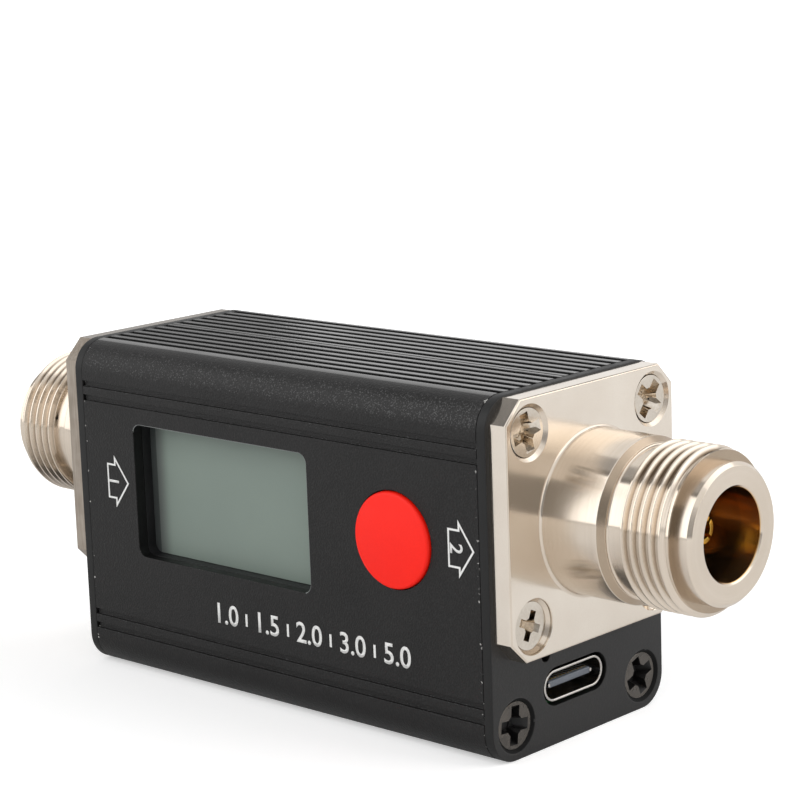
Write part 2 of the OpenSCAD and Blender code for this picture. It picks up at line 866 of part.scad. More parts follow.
module snap_dome() {
    color("#d8d2c2") front_frame(button_x, switch_well_y, button_z) rotate_extrude() snap_section();
}

module switch_legs() {
    color("#c4c4c0") for (sx = [-1, 1], sz = [-1, 1]) {
        translate([button_x, display_y, button_z + sz * switch_w / 4]) {
            leg_x = sx * (switch_w + leg_t) / 2;
            foot_x = sx * (switch_w + leg_foot) / 2;
            translate([leg_x, -switch_well_depth / 2, 0])
                cube([leg_t, switch_well_depth, leg_w], center = true);
            translate([foot_x, -leg_t / 2, 0]) cube([leg_foot, leg_t, leg_w], center = true);
        }
    }
}

// Display
module display_board() {
    color("#2f6b3f") box([-board_end_x, display_y, wall + slot_clear],
                         [board_end_x, display_back_y, board_top_z]);
}

module lcd_frame() {
    outer = 2 * (glass_gap + frame_wall);
    color("#151516") difference() {
        board_part(window_x, window_z, inner_front_y + frame_gap, display_y,
                   glass_w + outer, glass_h + outer);
        along_y(front_y, display_y) window_outline();
        board_part(window_x, window_z, glass_y - seat_gap, display_y + cut,
                   glass_w + 2 * glass_gap, glass_h + 2 * glass_gap);
    }
}

module lcd_glass() {
    color("#1d211f") board_part(window_x, window_z, glass_y, backlight_y, glass_w, glass_h);
}

module lcd_polariser() {
    color("#78857b") along_y(lcd_y, glass_y) translate([window_x, window_z])
        rounded_rect(window_w - 2 * frame_gap, window_h - 2 * frame_gap, window_r - frame_gap);
}

module lcd_backlight() {
    color("#e9ece6") board_part(window_x, window_z + lcd_pin_strip / 2, backlight_y, display_y,
                                glass_w, glass_h - lcd_pin_strip);
}

module lcd_pins() {
    color("#c4c4c0") for (i = [0 : lcd_pin_count - 1]) {
        board_part(window_x + (i - (lcd_pin_count - 1) / 2) * lcd_pin_pitch,
                   window_z - glass_h / 2 + lcd_pin_strip / 2, backlight_y, display_y,
                   lcd_pin_w, lcd_pin_w);
    }
}

module processor_chip() {
    color("#1a1a1c") board_part(window_x, window_z, display_back_y, display_back_y + processor_t,
                                processor_w, processor_w);
}

module charge_led() {
    color("#f4f2d8") board_part(board_end_x - led_l / 2, led_z, display_back_y, display_back_y + led_t,
                                led_l, led_w);
}

// Radio section
module coupler_board() {
    color("#2f6b3f") box([-board_end_x, coupler_y, coupler_z],
                         [board_end_x, coupler_y + board_t, board_top_z]);
}

module through_line() {
    color("#c98b4e") board_part(0, jack_z, coupler_y - trace_t, coupler_y,
                                2 * board_end_x, through_line_w);
}

module sense_lines() {
    color("#c98b4e") for (s = [-1, 1]) {
        board_part(0, jack_z + s * sense_line_offset, coupler_y - trace_t, coupler_y,
                   sense_line_l, sense_line_w);
    }
}

module detector_diodes() {
    color("#232325") for (s = [-1, 1]) {
        board_part(s * line_part_x, jack_z + s * sense_line_offset, coupler_y - diode_t, coupler_y,
                   diode_l, line_part_w);
    }
}

module terminating_resistors() {
    color("#2b2b30") for (s = [-1, 1]) {
        board_part(s * line_part_x, jack_z - s * sense_line_offset, coupler_y - resistor_t, coupler_y,
                   resistor_l, line_part_w);
    }
}

module shield_can() {
    color("#c9c9c6") difference() {
        board_part(0, jack_z, coupler_y - shield_h, coupler_y, shield_l, shield_w);
        board_part(0, jack_z, coupler_y - shield_h + shield_t, coupler_y + cut,
                   shield_l - 2 * shield_t, shield_w - 2 * shield_t);
        board_part(0, jack_z, coupler_y - 4 * trace_t, coupler_y + cut,
                   shield_l + cut, through_line_w + 2 * shield_t);
    }
}

module board_header() {
    color("#1b1b1d") union() {
        board_part(button_x, header_z, display_back_y, display_back_y + header_block,
                   header_pins * header_pitch, header_block);
        for (i = [0 : header_pins - 1]) {
            board_part(button_x + (i - (header_pins - 1) / 2) * header_pitch, header_z,
                       display_back_y, coupler_y, header_pin_w, header_pin_w);
        }
    }
}

// Power section
module charger_board() {
    color("#2f6b3f") box([charger_x, charger_front_y, charger_z],
                         [charger_end_x, charger_back_y, charger_top_z]);
}

module board_pad() {
    color("#5a5a5c") box([charger_x + pad_margin, charger_front_y + pad_margin, wall],
                         [usb_rim_x - usb_l, charger_back_y - pad_margin, charger_z]);
}

module usb_shell() {
    color("#d9d6d2") translate([0, usb_y, usb_z]) difference() {
        along_x(usb_rim_x - usb_l, usb_rim_x) stadium(usb_w, usb_h);
        along_x(usb_rim_x - usb_l + usb_wall, usb_rim_x + cut)
            stadium(usb_w - 2 * usb_wall, usb_h - 2 * usb_wall);
    }
}

module usb_tongue() {
    back_x = usb_rim_x - usb_l + usb_wall;
    inset = 2 * (usb_wall + seat_gap);
    color("#1f2023") translate([0, usb_y, usb_z]) union() {
        along_x(back_x, back_x + usb_block_l) stadium(usb_w - inset, usb_h - inset);
        along_x(back_x, usb_rim_x - usb_tongue_setback)
            square([usb_tongue_w, usb_tongue_t], center = true);
    }
}

module charger_chip() {
    x = charger_x + charger_l / 2;
    y = (charger_front_y + charger_back_y) / 2;
    color("#1a1a1c") translate([x, y, charger_top_z + charger_chip_t / 2])
        cube([charger_chip_l, charger_chip_w, charger_chip_t], center = true);
}

module link_pins() {
    color("#c4c4c0") for (i = [0 : link_pin_count - 1]) {
        along_y(display_back_y, display_back_y + link_pin_l)
            translate([charger_x + pad_margin + i * header_pitch, charger_top_z + link_pin_d / 2])
            circle(d = link_pin_d);
    }
}

module battery_cell() {
    color("#b8bcc0") along_y(battery_y, battery_y + battery_t)
        translate([battery_x, battery_z + battery_h / 2]) rounded_rect(battery_l, battery_h, battery_r);
}

module battery_pad() {
    color("#5a5a5c") board_part(battery_x, battery_z + battery_h / 2, battery_y + battery_t, inner_back_y,
                                battery_l - 2 * pad_margin, battery_h - 2 * pad_margin);
}

module battery_leads() {
    color("#c02020") for (s = [-1, 1]) {
        translate([battery_x + s * lead_wire_x, battery_y + lead_wire_d / 2, charger_top_z])
            cylinder(h = lead_wire_l, d = lead_wire_d);
    }
}

extruded_case();
left_end_panel();
right_end_panel();
left_connector_body();
right_connector_body();
left_insulator();
right_insulator();
left_contact();
right_contact();
left_flange_screws();
right_flange_screws();
left_flange_nuts();
right_flange_nuts();
left_panel_screws();
right_panel_screws();
button_cap();
switch_plunger();
switch_body();
switch_cover();
snap_dome();
switch_legs();
display_board();
lcd_frame();
lcd_glass();
lcd_polariser();
lcd_backlight();
lcd_pins();
processor_chip();
charge_led();
coupler_board();
through_line();
sense_lines();
detector_diodes();
terminating_resistors();
shield_can();
board_header();
charger_board();
board_pad();
usb_shell();
usb_tongue();
charger_chip();
link_pins();
battery_cell();
battery_pad();
battery_leads();
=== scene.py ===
"""Looks of an in-line radio meter: a ribbed black tube, two nickel jacks, a display and one red button.

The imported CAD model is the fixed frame. New pieces are modelled in millimetres around it, and are scaled to
metres when they are finished.
"""

import logging
import math
from collections.abc import Callable, Iterator, Mapping, Sequence
from contextlib import contextmanager
from dataclasses import dataclass
from enum import Enum

import bmesh
import bpy
from mathutils import Matrix, Vector


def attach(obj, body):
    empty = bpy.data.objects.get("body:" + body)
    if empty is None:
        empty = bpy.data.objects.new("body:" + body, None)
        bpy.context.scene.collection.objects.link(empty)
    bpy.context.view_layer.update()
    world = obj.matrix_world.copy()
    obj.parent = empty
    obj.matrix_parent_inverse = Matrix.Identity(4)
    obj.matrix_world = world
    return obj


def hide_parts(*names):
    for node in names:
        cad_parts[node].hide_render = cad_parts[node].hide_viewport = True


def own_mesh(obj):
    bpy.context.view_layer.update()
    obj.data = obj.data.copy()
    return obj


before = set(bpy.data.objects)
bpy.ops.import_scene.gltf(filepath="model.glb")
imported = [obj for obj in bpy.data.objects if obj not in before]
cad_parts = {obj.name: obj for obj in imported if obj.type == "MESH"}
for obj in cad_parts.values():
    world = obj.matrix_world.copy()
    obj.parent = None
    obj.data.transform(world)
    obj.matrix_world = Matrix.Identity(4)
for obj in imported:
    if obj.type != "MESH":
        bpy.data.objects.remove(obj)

Piece = bpy.types.Object
Socket = bpy.types.NodeSocket
Pair = tuple[float, float]
Triple = tuple[float, float, float]
FaceTest = Callable[[Vector, Vector], bool]
Port = str | int
Inputs = Mapping[Port, object] | Sequence[object]

LOG = logging.getLogger("meter")
MM = 0.001
WELD = 0.0005  # Places this close count as one, in millimetres
NEAR = 0.02  # Places this close lie on one plane, in millimetres
QUARTER = math.pi / 2
TURN_STEPS = 128
FILLET_STEPS = 5
CORNER_SHARE = 0.49  # Most of a straight line that one rounded corner takes
FLAT_BEND = 0.3  # Faces that bend less than this are one, in degrees
SMOOTH_BEND = 32.0  # Edges that bend less than this look smooth, in degrees
EASED_SMOOTH = 40.0  # The same on a piece with rounded edges
EASED_BEND = 28.0  # Edges that bend more than this are rounded, in degrees
DETAIL = 3.0
GRAIN_DETAIL = 4.0

# How much of an axis the normal of a face has
LEVEL = 0.95  # More than this: the face is flat, and not part of a rounded edge
SQUARE = 0.9  # More than this: the face is square to the axis
SLANTED = 0.85  # Less than this: the face of a panel is not one of its flat sides
ALONG = 0.3  # Less than this: the face runs along the axis
LEANING = 0.1  # Less than this: the face is a wall


class Part(Enum):
    """Kind of mesh element that is selected."""

    VERT = "verts"
    EDGE = "edges"


class Mix(Enum):
    """How a tool shape acts on a piece."""

    JOIN = "UNION"
    CUT = "DIFFERENCE"


class Side(Enum):
    """End of the tube; the value is the sign of X there."""

    RIGHT = 1
    LEFT = -1

    @property
    def word(self) -> str:
        """Name of the side in lower case."""
        return self.name.lower()


class Body(Enum):
    """CAD body that a piece rides on."""

    METER = "meter"
    BUTTON = "button"


# Modelling


def choose(*pieces: Piece) -> None:
    """Selects only these objects and makes the first one active.

    Args:
        pieces: The objects.
    """
    bpy.ops.object.select_all(action="DESELECT")
    for piece in pieces:
        piece.select_set(True)
    bpy.context.view_layer.objects.active = pieces[0]


def start(adder: Callable[..., set[str]], **settings: object) -> Piece:
    """Adds a primitive with nothing else selected.

    Args:
        adder: The operator that adds it.
        settings: The operator's settings.

    Returns:
        The new object, with its size and place in its mesh.
    """
    bpy.ops.object.select_all(action="DESELECT")
    adder(**settings)
    bpy.ops.object.transform_apply(location=True, rotation=True, scale=True)
    return bpy.context.object


@contextmanager
def editing(piece: Piece) -> Iterator[None]:
    """Opens a piece in edit mode with nothing selected, and closes it again.

    Args:
        piece: The object to edit.
    """
    choose(piece)
    bpy.ops.object.mode_set(mode="EDIT")
    bpy.ops.mesh.select_mode(type="VERT")
    bpy.ops.mesh.select_all(action="DESELECT")
    try:
        yield
    finally:
        bpy.ops.object.mode_set(mode="OBJECT")


def pick(piece: Piece, part: Part, test: Callable[[object], bool]) -> None:
    """Selects the elements of a piece in edit mode that pass a test.

    Args:
        piece: The object that is open in edit mode.
        part: The kind of element.
        test: Says whether an element is selected.
    """
    bpy.ops.mesh.select_mode(type=part.name)
    bpy.ops.mesh.select_all(action="DESELECT")
    mesh = bmesh.from_edit_mesh(piece.data)
    for item in getattr(mesh, part.value):
        if test(item):
            item.select_set(True)
    mesh.select_flush_mode()
    bmesh.update_edit_mesh(piece.data)


def pick_all() -> None:
    """Selects all of the mesh that is open in edit mode."""
    bpy.ops.mesh.select_all(action="SELECT")


def merge() -> None:
    """Merges the doubles of the mesh that is open in edit mode."""
    pick_all()
    bpy.ops.mesh.remove_doubles(threshold=WELD)


def turn_out() -> None:
    """Turns the faces of the mesh that is open in edit mode outwards."""
    pick_all()
    bpy.ops.mesh.normals_make_consistent(inside=False)


def place(piece: Piece, matrix: Matrix) -> None:
    """Moves a piece and writes its place into its mesh.

    Args:
        piece: The object.
        matrix: Its new place.
    """
    piece.matrix_world = matrix
    choose(piece)
    bpy.ops.object.transform_apply(location=True, rotation=True, scale=True)


def apply(piece: Piece, modifier: bpy.types.Modifier) -> None:
    """Applies a modifier to its piece."""
    choose(piece)
    bpy.ops.object.modifier_apply(modifier=modifier.name)


def twin(piece: Piece, name: str) -> Piece:
    """Copies a piece.

    Args:
        piece: The object to copy.
        name: The copy's name.

    Returns:
        The copy, with a mesh of its own.
    """
    copy = piece.copy()
    copy.data = piece.data.copy()
    copy.name = name
    bpy.context.scene.collection.objects.link(copy)
    return copy


def welded(name: str, pieces: Sequence[Piece]) -> Piece:
    """Joins several shapes into one object.

    Args:
        name: The object's name.
        pieces: The shapes.

    Returns:
        The joined object.
    """
    choose(*pieces)
    bpy.ops.object.join()
    pieces[0].name = name
    return pieces[0]


def combine(piece: Piece, tool: Piece, mix: Mix) -> None:
    """Cuts a tool out of a piece or joins it on, and removes the tool.

    Args:
        piece: The object that is changed.
        tool: The shape that acts on it.
        mix: What the tool does.
    """
    modifier = piece.modifiers.new("combine", "BOOLEAN")
    modifier.operation = mix.value
    modifier.solver = "EXACT"
    modifier.object = tool
    apply(piece, modifier)
    bpy.data.objects.remove(tool)


def rounded(corners: Sequence[Triple], segments: int = 4) -> list[Vector]:
    """Rounds the corners of an open outline.

    Args:
        corners: First and second coordinate of each corner, and its radius.
        segments: Pieces of each arc.

    Returns:
        The points of the rounded outline.
    """
    points: list[Vector] = []
    for index, (first, second, radius) in enumerate(corners):
        here = Vector((first, second))
        if radius <= 0 or index in (0, len(corners) - 1):
            points.append(here)
            continue
        before = Vector(corners[index - 1][:2]) - here
        after = Vector(corners[index + 1][:2]) - here
        half = before.angle(after) / 2
        reach = min(radius / math.tan(half), CORNER_SHARE * before.length, CORNER_SHARE * after.length)
        bend = reach * math.tan(half)
        centre = here + (before.normalized() + after.normalized()).normalized() * bend / math.sin(half)
        first_arm = here + before.normalized() * reach - centre
        last_arm = here + after.normalized() * reach - centre
        for step in range(segments + 1):
            points.append(centre + first_arm.lerp(last_arm, step / segments).normalized() * bend)
    return points


def drawn(name: str, points: Sequence[Sequence[float]]) -> Piece:
    """Draws a chain of edges by pulling one vertex from point to point.

    Args:
        name: The object's name.
        points: The points of the chain, in space.

    Returns:
        The chain, as a mesh without faces.
    """
    piece = start(bpy.ops.mesh.primitive_plane_add, size=1.0)
    piece.name = name
    path = [Vector(point) for point in points]
    with editing(piece):
        pick_all()
        bpy.ops.mesh.merge(type="CENTER")
        bpy.ops.transform.translate(value=path[0])
        for before, after in zip(path, path[1:]):
            bpy.ops.mesh.extrude_vertices_move(TRANSFORM_OT_translate={"value": after - before})
    return piece


def lathe(name: str, outline: Sequence[Sequence[float]]) -> Piece:
    """Spins an outline round the Z axis.

    Args:
        name: The object's name.
        outline: Radius and height of each point.

    Returns:
        The turned shape.
    """
    piece = drawn(name, [(radius, 0.0, height) for radius, height in outline])
    with editing(piece):
        pick_all()
        bpy.ops.mesh.spin(steps=TURN_STEPS, angle=math.tau, center=(0, 0, 0), axis=(0, 0, 1))
        merge()
        turn_out()
    return piece


def shade(piece: Piece, angle: float = SMOOTH_BEND) -> None:
    """Shades a piece smoothly up to an angle, with its large faces kept flat.

    Args:
        piece: The object to shade.
        angle: Largest angle in degrees that is shaded smoothly.
    """
    choose(piece)
    bpy.ops.object.shade_smooth_by_angle(angle=math.radians(angle))
    weight = piece.modifiers.new("weight", "WEIGHTED_NORMAL")
    weight.keep_sharp = True
    apply(piece, weight)


def eased(piece: Piece, width: float, segments: int = 2) -> None:
    """Rounds every sharp edge of a piece a little.

    Args:
        piece: The object to ease.
        width: Width of the rounding in millimetres.
        segments: Faces across the rounding.
    """
    bevel = piece.modifiers.new("ease", "BEVEL")
    bevel.width = width
    bevel.segments = segments
    bevel.limit_method = "ANGLE"
    bevel.angle_limit = math.radians(EASED_BEND)
    bevel.use_clamp_overlap = False
    apply(piece, bevel)
    shade(piece, EASED_SMOOTH)


def copied(name: str, node: str) -> Piece:
    """Copies a CAD node in millimetres, welded, with its flat faces whole.

    Args:
        name: The copy's name.
        node: The CAD node.

    Returns:
        The copy, which no longer belongs to the frame.
    """
    piece = twin(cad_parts[node], name)
    piece.parent = None
    for key in [key for key in piece.keys() if key.startswith("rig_")]:
        del piece[key]
    piece.data.materials.clear()
    place(piece, Matrix.Scale(1 / MM, 4))
    bpy.ops.mesh.customdata_custom_splitnormals_clear()
    with editing(piece):
        merge()
        bpy.ops.mesh.dissolve_limited(angle_limit=math.radians(FLAT_BEND))
    return piece


# Finishes


def linear(code: str) -> tuple[float, float, float, float]:
    """Turns an sRGB hex colour into linear red, green and blue, with alpha.

    Args:
        code: The colour, such as #20a0ff.

    Returns:
        Four numbers from 0 to 1.
    """
    parts = [int(code[place:place + 2], 16) / 255 for place in (1, 3, 5)]
    red, green, blue = (p / 12.92 if p <= 0.04045 else ((p + 0.055) / 1.055) ** 2.4 for p in parts)
    return red, green, blue, 1.0


@dataclass
class Sketch:
    """Node tree in the making, with the coordinates and patterns that a finish draws on."""

    owner: bpy.types.Material | bpy.types.World
    coords: Socket | None = None
    fine: Socket | None = None
    slow: Socket | None = None

    def __post_init__(self) -> None:
        """Empties the tree."""
        self.owner.use_nodes = True
        self.owner.node_tree.nodes.clear()

    def add(self, kind: str, inputs: Inputs = (), port: Port = 0, **settings: object) -> Socket | None:
        """Adds a shader node with its settings, values and links.

        Args:
            kind: The node's type, without its prefix.
            inputs: Values, or outputs that feed the node, by name or number or in the node's own order.
            port: The output that is wanted.
            settings: The node's own properties.

        Returns:
            That output, or nothing where the node has none.
        """
        node = self.owner.node_tree.nodes.new("ShaderNode" + kind)
        for key, value in settings.items():
            setattr(node, key, value)
        for key, value in inputs.items() if isinstance(inputs, Mapping) else enumerate(inputs):
            if isinstance(value, bpy.types.NodeSocket):
                self.owner.node_tree.links.new(value, node.inputs[key])
            else:
                node.inputs[key].default_value = value
        return node.outputs[port] if node.outputs else None


MADE: dict[str, bpy.types.Material] = {}


@dataclass(frozen=True)
class Finish:
    """Surface with two close tones, an uneven gloss and a fine relief; sizes are in millimetres.

    The spans are the part of a pattern's range that takes it from one tone or gloss to the other.
    """

    name: str
    tone: str
    other: str
    roughness: float
    metallic: float = 0.0
    ior: float = 1.5
    grain: float = 0.25
    drift: float = 7.0
    relief: float = 0.003
    gloss_spread: float = 0.06
    least_rough: float = 0.02
    slow_share: float = 0.5
    tone_span: Pair = (0.35, 0.65)
    gloss_span: Pair = (0.3, 0.7)

    def fine(self, sketch: Sketch) -> Socket:
        """Draws the fine pattern that gives the relief, from 0 to 1."""
        grain = {"Vector": sketch.coords, "Scale": 1 / (self.grain * MM), "Detail": GRAIN_DETAIL}
        return sketch.add("TexNoise", grain)

    def colour(self, sketch: Sketch) -> Socket:
        """Mixes the two tones by the patterns.

        Args:
            sketch: The material in the making.

        Returns:
            The colour.
        """
        both = sketch.add("Mix", {0: self.slow_share, 2: sketch.fine, 3: sketch.slow}, data_type="FLOAT")
        share = sketch.add("MapRange", (both, *self.tone_span))
        tones = {6: linear(self.tone), 7: linear(self.other)}
        return sketch.add("Mix", {0: share, **tones}, 2, data_type="RGBA")

    def marks(self, sketch: Sketch) -> dict[str, object]:
        """Sockets that draw the gloss out across tool marks; a plain surface has none."""
        return {}

    def make(self) -> bpy.types.Material:
        """Builds the material once.

        Returns:
            The material.
        """
        if self.name in MADE:
            return MADE[self.name]
        material = MADE[self.name] = bpy.data.materials.new(self.name)
        sketch = Sketch(material)
        sketch.coords = sketch.add("TexCoord", port="Object")
        sketch.fine = self.fine(sketch)
        slow = {"Vector": sketch.coords, "Scale": 1 / (self.drift * MM), "Detail": DETAIL}
        sketch.slow = sketch.add("TexNoise", slow)
        smooth = max(self.least_rough, self.roughness - self.gloss_spread)
        rough = min(1.0, self.roughness + self.gloss_spread)
        relief = {"Height": sketch.fine, "Strength": 1.0, "Distance": self.relief * MM}
        values = {
            "Base Color": self.colour(sketch),
            "Metallic": self.metallic,
            "Roughness": sketch.add("MapRange", (sketch.slow, *self.gloss_span, smooth, rough)),
            "IOR": self.ior,
            "Normal": sketch.add("Bump", relief),
            **self.marks(sketch),
        }
        sketch.add("OutputMaterial", [sketch.add("BsdfPrincipled", values)])
        return material


@dataclass(frozen=True)
class Blasted(Finish):
    """Bead-blasted metal under dyed oxide: dimpled, with painted glints where it turns up and pale worn
    grains at its ends.
    """

    spark: str = "#454545"
    spark_size: float = 0.09
    spark_share: float = 0.015
    turned_share: float = 0.16
    turned_tilt: float = 0.45
    turned_span: Pair = (0.45, 0.2)
    turned_growth: Pair = (0.6, 1.2)
    half_length: float = 27.5
    worn: str = "#d8d6d2"
    worn_size: float = 0.17
    worn_share: float = 0.04
    worn_reach: float = 0.25
    grain_fade: float = 0.05

    def fine(self, sketch: Sketch) -> Socket:
        """Draws the dimples that the beads leave, from 0 to about 1."""
        beads = {"Vector": sketch.coords, "Scale": 1 / (self.grain * MM)}
        return sketch.add("TexVoronoi", beads, "Distance")

    def turned(self, sketch: Sketch, along: Socket) -> Socket:
        """Finds the share of painted glints: most where the surface starts to turn up, and more to the right,
        as the light falls.

        Args:
            sketch: The material in the making.
            along: The place along the tube.

        Returns:
            The share, from 0 to 1.
        """
        tilt = sketch.add("SeparateXYZ", [sketch.add("TexCoord", port="Normal")], 2)
        off = sketch.add("Math", (tilt, self.turned_tilt), operation="SUBTRACT")
        apart = sketch.add("Math", [off], operation="ABSOLUTE")
        shares = (growth * self.turned_share for growth in self.turned_growth)
        top = sketch.add("MapRange", (along, -self.half_length * MM, self.half_length * MM, *shares))
        return sketch.add("MapRange", (apart, *self.turned_span, self.spark_share, top))

    def ends(self, sketch: Sketch, along: Socket) -> Socket:
        """Finds the share of bare grains, which only the ends of the tube have.

        Args:
            sketch: The material in the making.
            along: The place along the tube.

        Returns:
            The share, from 0 to 1.
        """
        reach = sketch.add("Math", [along], operation="ABSOLUTE")
        first = (self.half_length - self.worn_reach) * MM
        past = sketch.add("Math", (reach, first), operation="GREATER_THAN")
        return sketch.add("Math", (past, self.worn_share), operation="MULTIPLY")

    def colour(self, sketch: Sketch) -> Socket:
        """Sprinkles single painted glints, and pale worn grains at the ends, over the two tones.

        Args:
            sketch: The material in the making.

        Returns:
            The colour.
        """
        ground = super().colour(sketch)
        along = sketch.add("SeparateXYZ", [sketch.coords])
        # Painted glints where the surface turns up, then pale worn grains at the ends
        for tone, size, share in (
            (self.spark, self.spark_size, self.turned(sketch, along)),
            (self.worn, self.worn_size, self.ends(sketch, along)),
        ):
            cells = sketch.add("TexVoronoi", {"Vector": sketch.coords, "Scale": 1 / (size * MM)}, "Color")
            luck = sketch.add("SeparateColor", [cells])
            chance = sketch.add("Math", (luck, share), operation="ADD")
            lit = sketch.add("MapRange", (chance, 1.0, 1.0 + self.grain_fade))
            ground = sketch.add("Mix", {0: lit, 6: ground, 7: linear(tone)}, 2, data_type="RGBA")
        return ground


@dataclass(frozen=True)
class Sawn(Finish):
    """Metal cut with a saw: the marks run along Z."""

    stretch: float = 0.06

    def fine(self, sketch: Sketch) -> Socket:
        """Draws the long marks, from 0 to 1."""
        long = sketch.add("Mapping", {"Vector": sketch.coords, "Scale": (1.0, 1.0, self.stretch)})
        return sketch.add("TexNoise", {"Vector": long, "Scale": 1 / (self.grain * MM), "Detail": DETAIL})


@dataclass(frozen=True)
class Turned(Finish):
    """Metal from the lathe: fine marks run round an axis along X; a bore and a thread's root may carry
    painted shade.

    A fade is how far outside the radius the darker tone starts and is full. The root's painted shade covers a
    part of the length, less so below a height over the axis.
    """

    axis_z: float = 22.55
    bore_r: float = 0.0
    bore_tone: str = "#000000"
    bore_fade: Pair = (0.1, 0.02)
    root_r: float = 0.0
    root_tone: str = "#000000"
    root_fade: Pair = (0.32, 0.08)
    root_x: Pair = (39.62, 44.42)
    root_rise: Pair = (4.6, 5.8)
    root_least: float = 0.3
    drawn_out: float = 0.0
    lean: float = 10.0

    def centred(self, sketch: Sketch) -> Socket:
        """Coordinates that count from the axis."""
        return sketch.add("Mapping", {"Vector": sketch.coords, "Location": (0.0, 0.0, -self.axis_z * MM)})

    def marks(self, sketch: Sketch) -> dict[str, object]:
        """Draws the gloss out across the marks: along the axis, and outwards on faces square to it.

        Args:
            sketch: The material in the making.

        Returns:
            The values of the shader's sockets.
        """
        _, side, up = sketch.add("SeparateXYZ", [self.centred(sketch)]).node.outputs
        across = sketch.add("CombineXYZ", (self.lean * MM, side, up))
        return {"Anisotropic": self.drawn_out, "Tangent": across}

    def ring(self, sketch: Sketch) -> Socket:
        """Finds the place along the axis and the distance from it.

        Args:
            sketch: The material in the making.

        Returns:
            A vector with the place as X and the distance as Y.
        """
        along, side, up = sketch.add("SeparateXYZ", [self.centred(sketch)]).node.outputs
        flat = sketch.add("CombineXYZ", {1: side, 2: up})
        reach = sketch.add("VectorMath", [flat], "Value", operation="LENGTH")
        return sketch.add("CombineXYZ", (along, reach))

    def fine(self, sketch: Sketch) -> Socket:
        """Draws the marks round the axis, from 0 to 1."""
        round_axis = {"Vector": self.ring(sketch), "Scale": 1 / (self.grain * MM), "Detail": DETAIL}
        return sketch.add("TexNoise", round_axis)

    def colour(self, sketch: Sketch) -> Socket:
        """Paints shade into the bore and the thread's root, each in its own tone.

        Args:
            sketch: The material in the making.

        Returns:
            The colour.
        """
        ground = super().colour(sketch)
        if not self.bore_r:
            return ground
        along, reach, _ = sketch.add("SeparateXYZ", [self.ring(sketch)]).node.outputs
        inside = sketch.add("MapRange", (reach, *((self.bore_r + fade) * MM for fade in self.bore_fade)))
        station = sketch.add("Math", [along], operation="ABSOLUTE")
        middle, half = sum(self.root_x) / 2 * MM, (self.root_x[1] - self.root_x[0]) / 2 * MM
        on_thread = sketch.add("Math", (station, middle, half), operation="COMPARE")
        level = sketch.add("SeparateXYZ", [sketch.coords], 2)
        heights = ((self.axis_z + rise) * MM for rise in self.root_rise)
        height_shade = sketch.add("MapRange", (level, *heights, self.root_least))
        most = sketch.add("Math", (on_thread, height_shade), operation="MULTIPLY")
        radii = ((self.root_r + fade) * MM for fade in self.root_fade)
        root_shade = sketch.add("MapRange", (reach, *radii, 0.0, most))
        # Painted shade: a warmer, darker bore, and a darker thread root, more towards the top
        for share, tone in ((inside, self.bore_tone), (root_shade, self.root_tone)):
            ground = sketch.add("Mix", {0: share, 6: ground, 7: linear(tone)}, 2, data_type="RGBA")
        return ground


@dataclass(frozen=True)
class Board(Finish):
    """Solder mask over copper: tracks show as lighter lines."""

    track: str = "#4c8a58"
    track_pitch: float = 1.6
    track_edge: Pair = (0.1, 0.06)

    def colour(self, sketch: Sketch) -> Socket:
        """Draws the tracks over the mask.

        Args:
            sketch: The material in the making.

        Returns:
            The colour.
        """
        ground = super().colour(sketch)
        tracks = {"Vector": sketch.coords, "Scale": 1 / (self.track_pitch * MM)}
        cells = sketch.add("TexVoronoi", tracks, feature="DISTANCE_TO_EDGE", distance="EUCLIDEAN")
        line = sketch.add("MapRange", (cells, *self.track_edge))
        return sketch.add("Mix", {0: line, 6: ground, 7: linear(self.track)}, 2, data_type="RGBA")


@dataclass(frozen=True)
class Film(Finish):
    """Front film of a reflective display, with a dark border at its left and a painted soft shadow of the
    window's wall next to it.
    """

    border: str = "#343837"
    border_x: float = -18.95
    shade_tone: str = "#565b58"
    shade_to: float = -16.9

    def colour(self, sketch: Sketch) -> Socket:
        """Paints the soft shadow of the window's wall, which fades into the border at the left.

        Args:
            sketch: The material in the making.

        Returns:
            The colour.
        """
        ground = super().colour(sketch)
        along = sketch.add("SeparateXYZ", [sketch.coords])
        fade = (along, self.border_x * MM, self.shade_to * MM)
        lit = sketch.add("MapRange", fade, interpolation_type="SMOOTHSTEP")
        shaded = sketch.add("Mix", {0: lit, 6: linear(self.shade_tone), 7: ground}, 2, data_type="RGBA")
        past = sketch.add("Math", (along, self.border_x * MM), operation="GREATER_THAN")
        return sketch.add("Mix", {0: past, 6: linear(self.border), 7: shaded}, 2, data_type="RGBA")


# The numbers are roughness, metallic, IOR, grain, drift, relief and spread of the gloss, in that order.

# Black anodised aluminium, bead-blasted: dull and near black, with a fine painted sparkle where the light
# grazes it
ANODISED = Blasted("blasted_black_anodised", "#0a0909", "#181717", 0.45, 0.0, 1.35, 0.2, 9.0, 0.022, 0.04)
# Walls of the grooves between the ribs and of the panels' countersinks, where little light gets
GROOVE = Finish("shaded_black_anodised", "#050505", "#090909", 0.75, 0.0, 1.3, 0.22, 9.0, 0.01, 0.04)
# Tops of the ribs: a lighter tone painted as the sheen of grazing light, and a smoother gloss
RIB_TOP = Blasted("rubbed_black_anodised", "#201f1e", "#2b2928", 0.2, 0.0, 1.6, 0.3, 9.0, 0.006, 0.06)
# Black anodised aluminium sheet: smoother than the tube
SHEET = Blasted(
    "black_anodised_sheet", "#100f0f", "#171616", 0.42, 0.0, 1.45, 0.2, 8.0, 0.006, 0.05,
    spark_share=0.0006, turned_share=0.0, worn_share=0.0,
)
# Cut edges of the sheet and the walls of the window: deep black, darker than the faces as painted shade
CUT_EDGE = Finish("black_cut_edge", "#060606", "#0b0b0b", 0.5, 0.0, 1.4, 0.15, 2.0, 0.004)
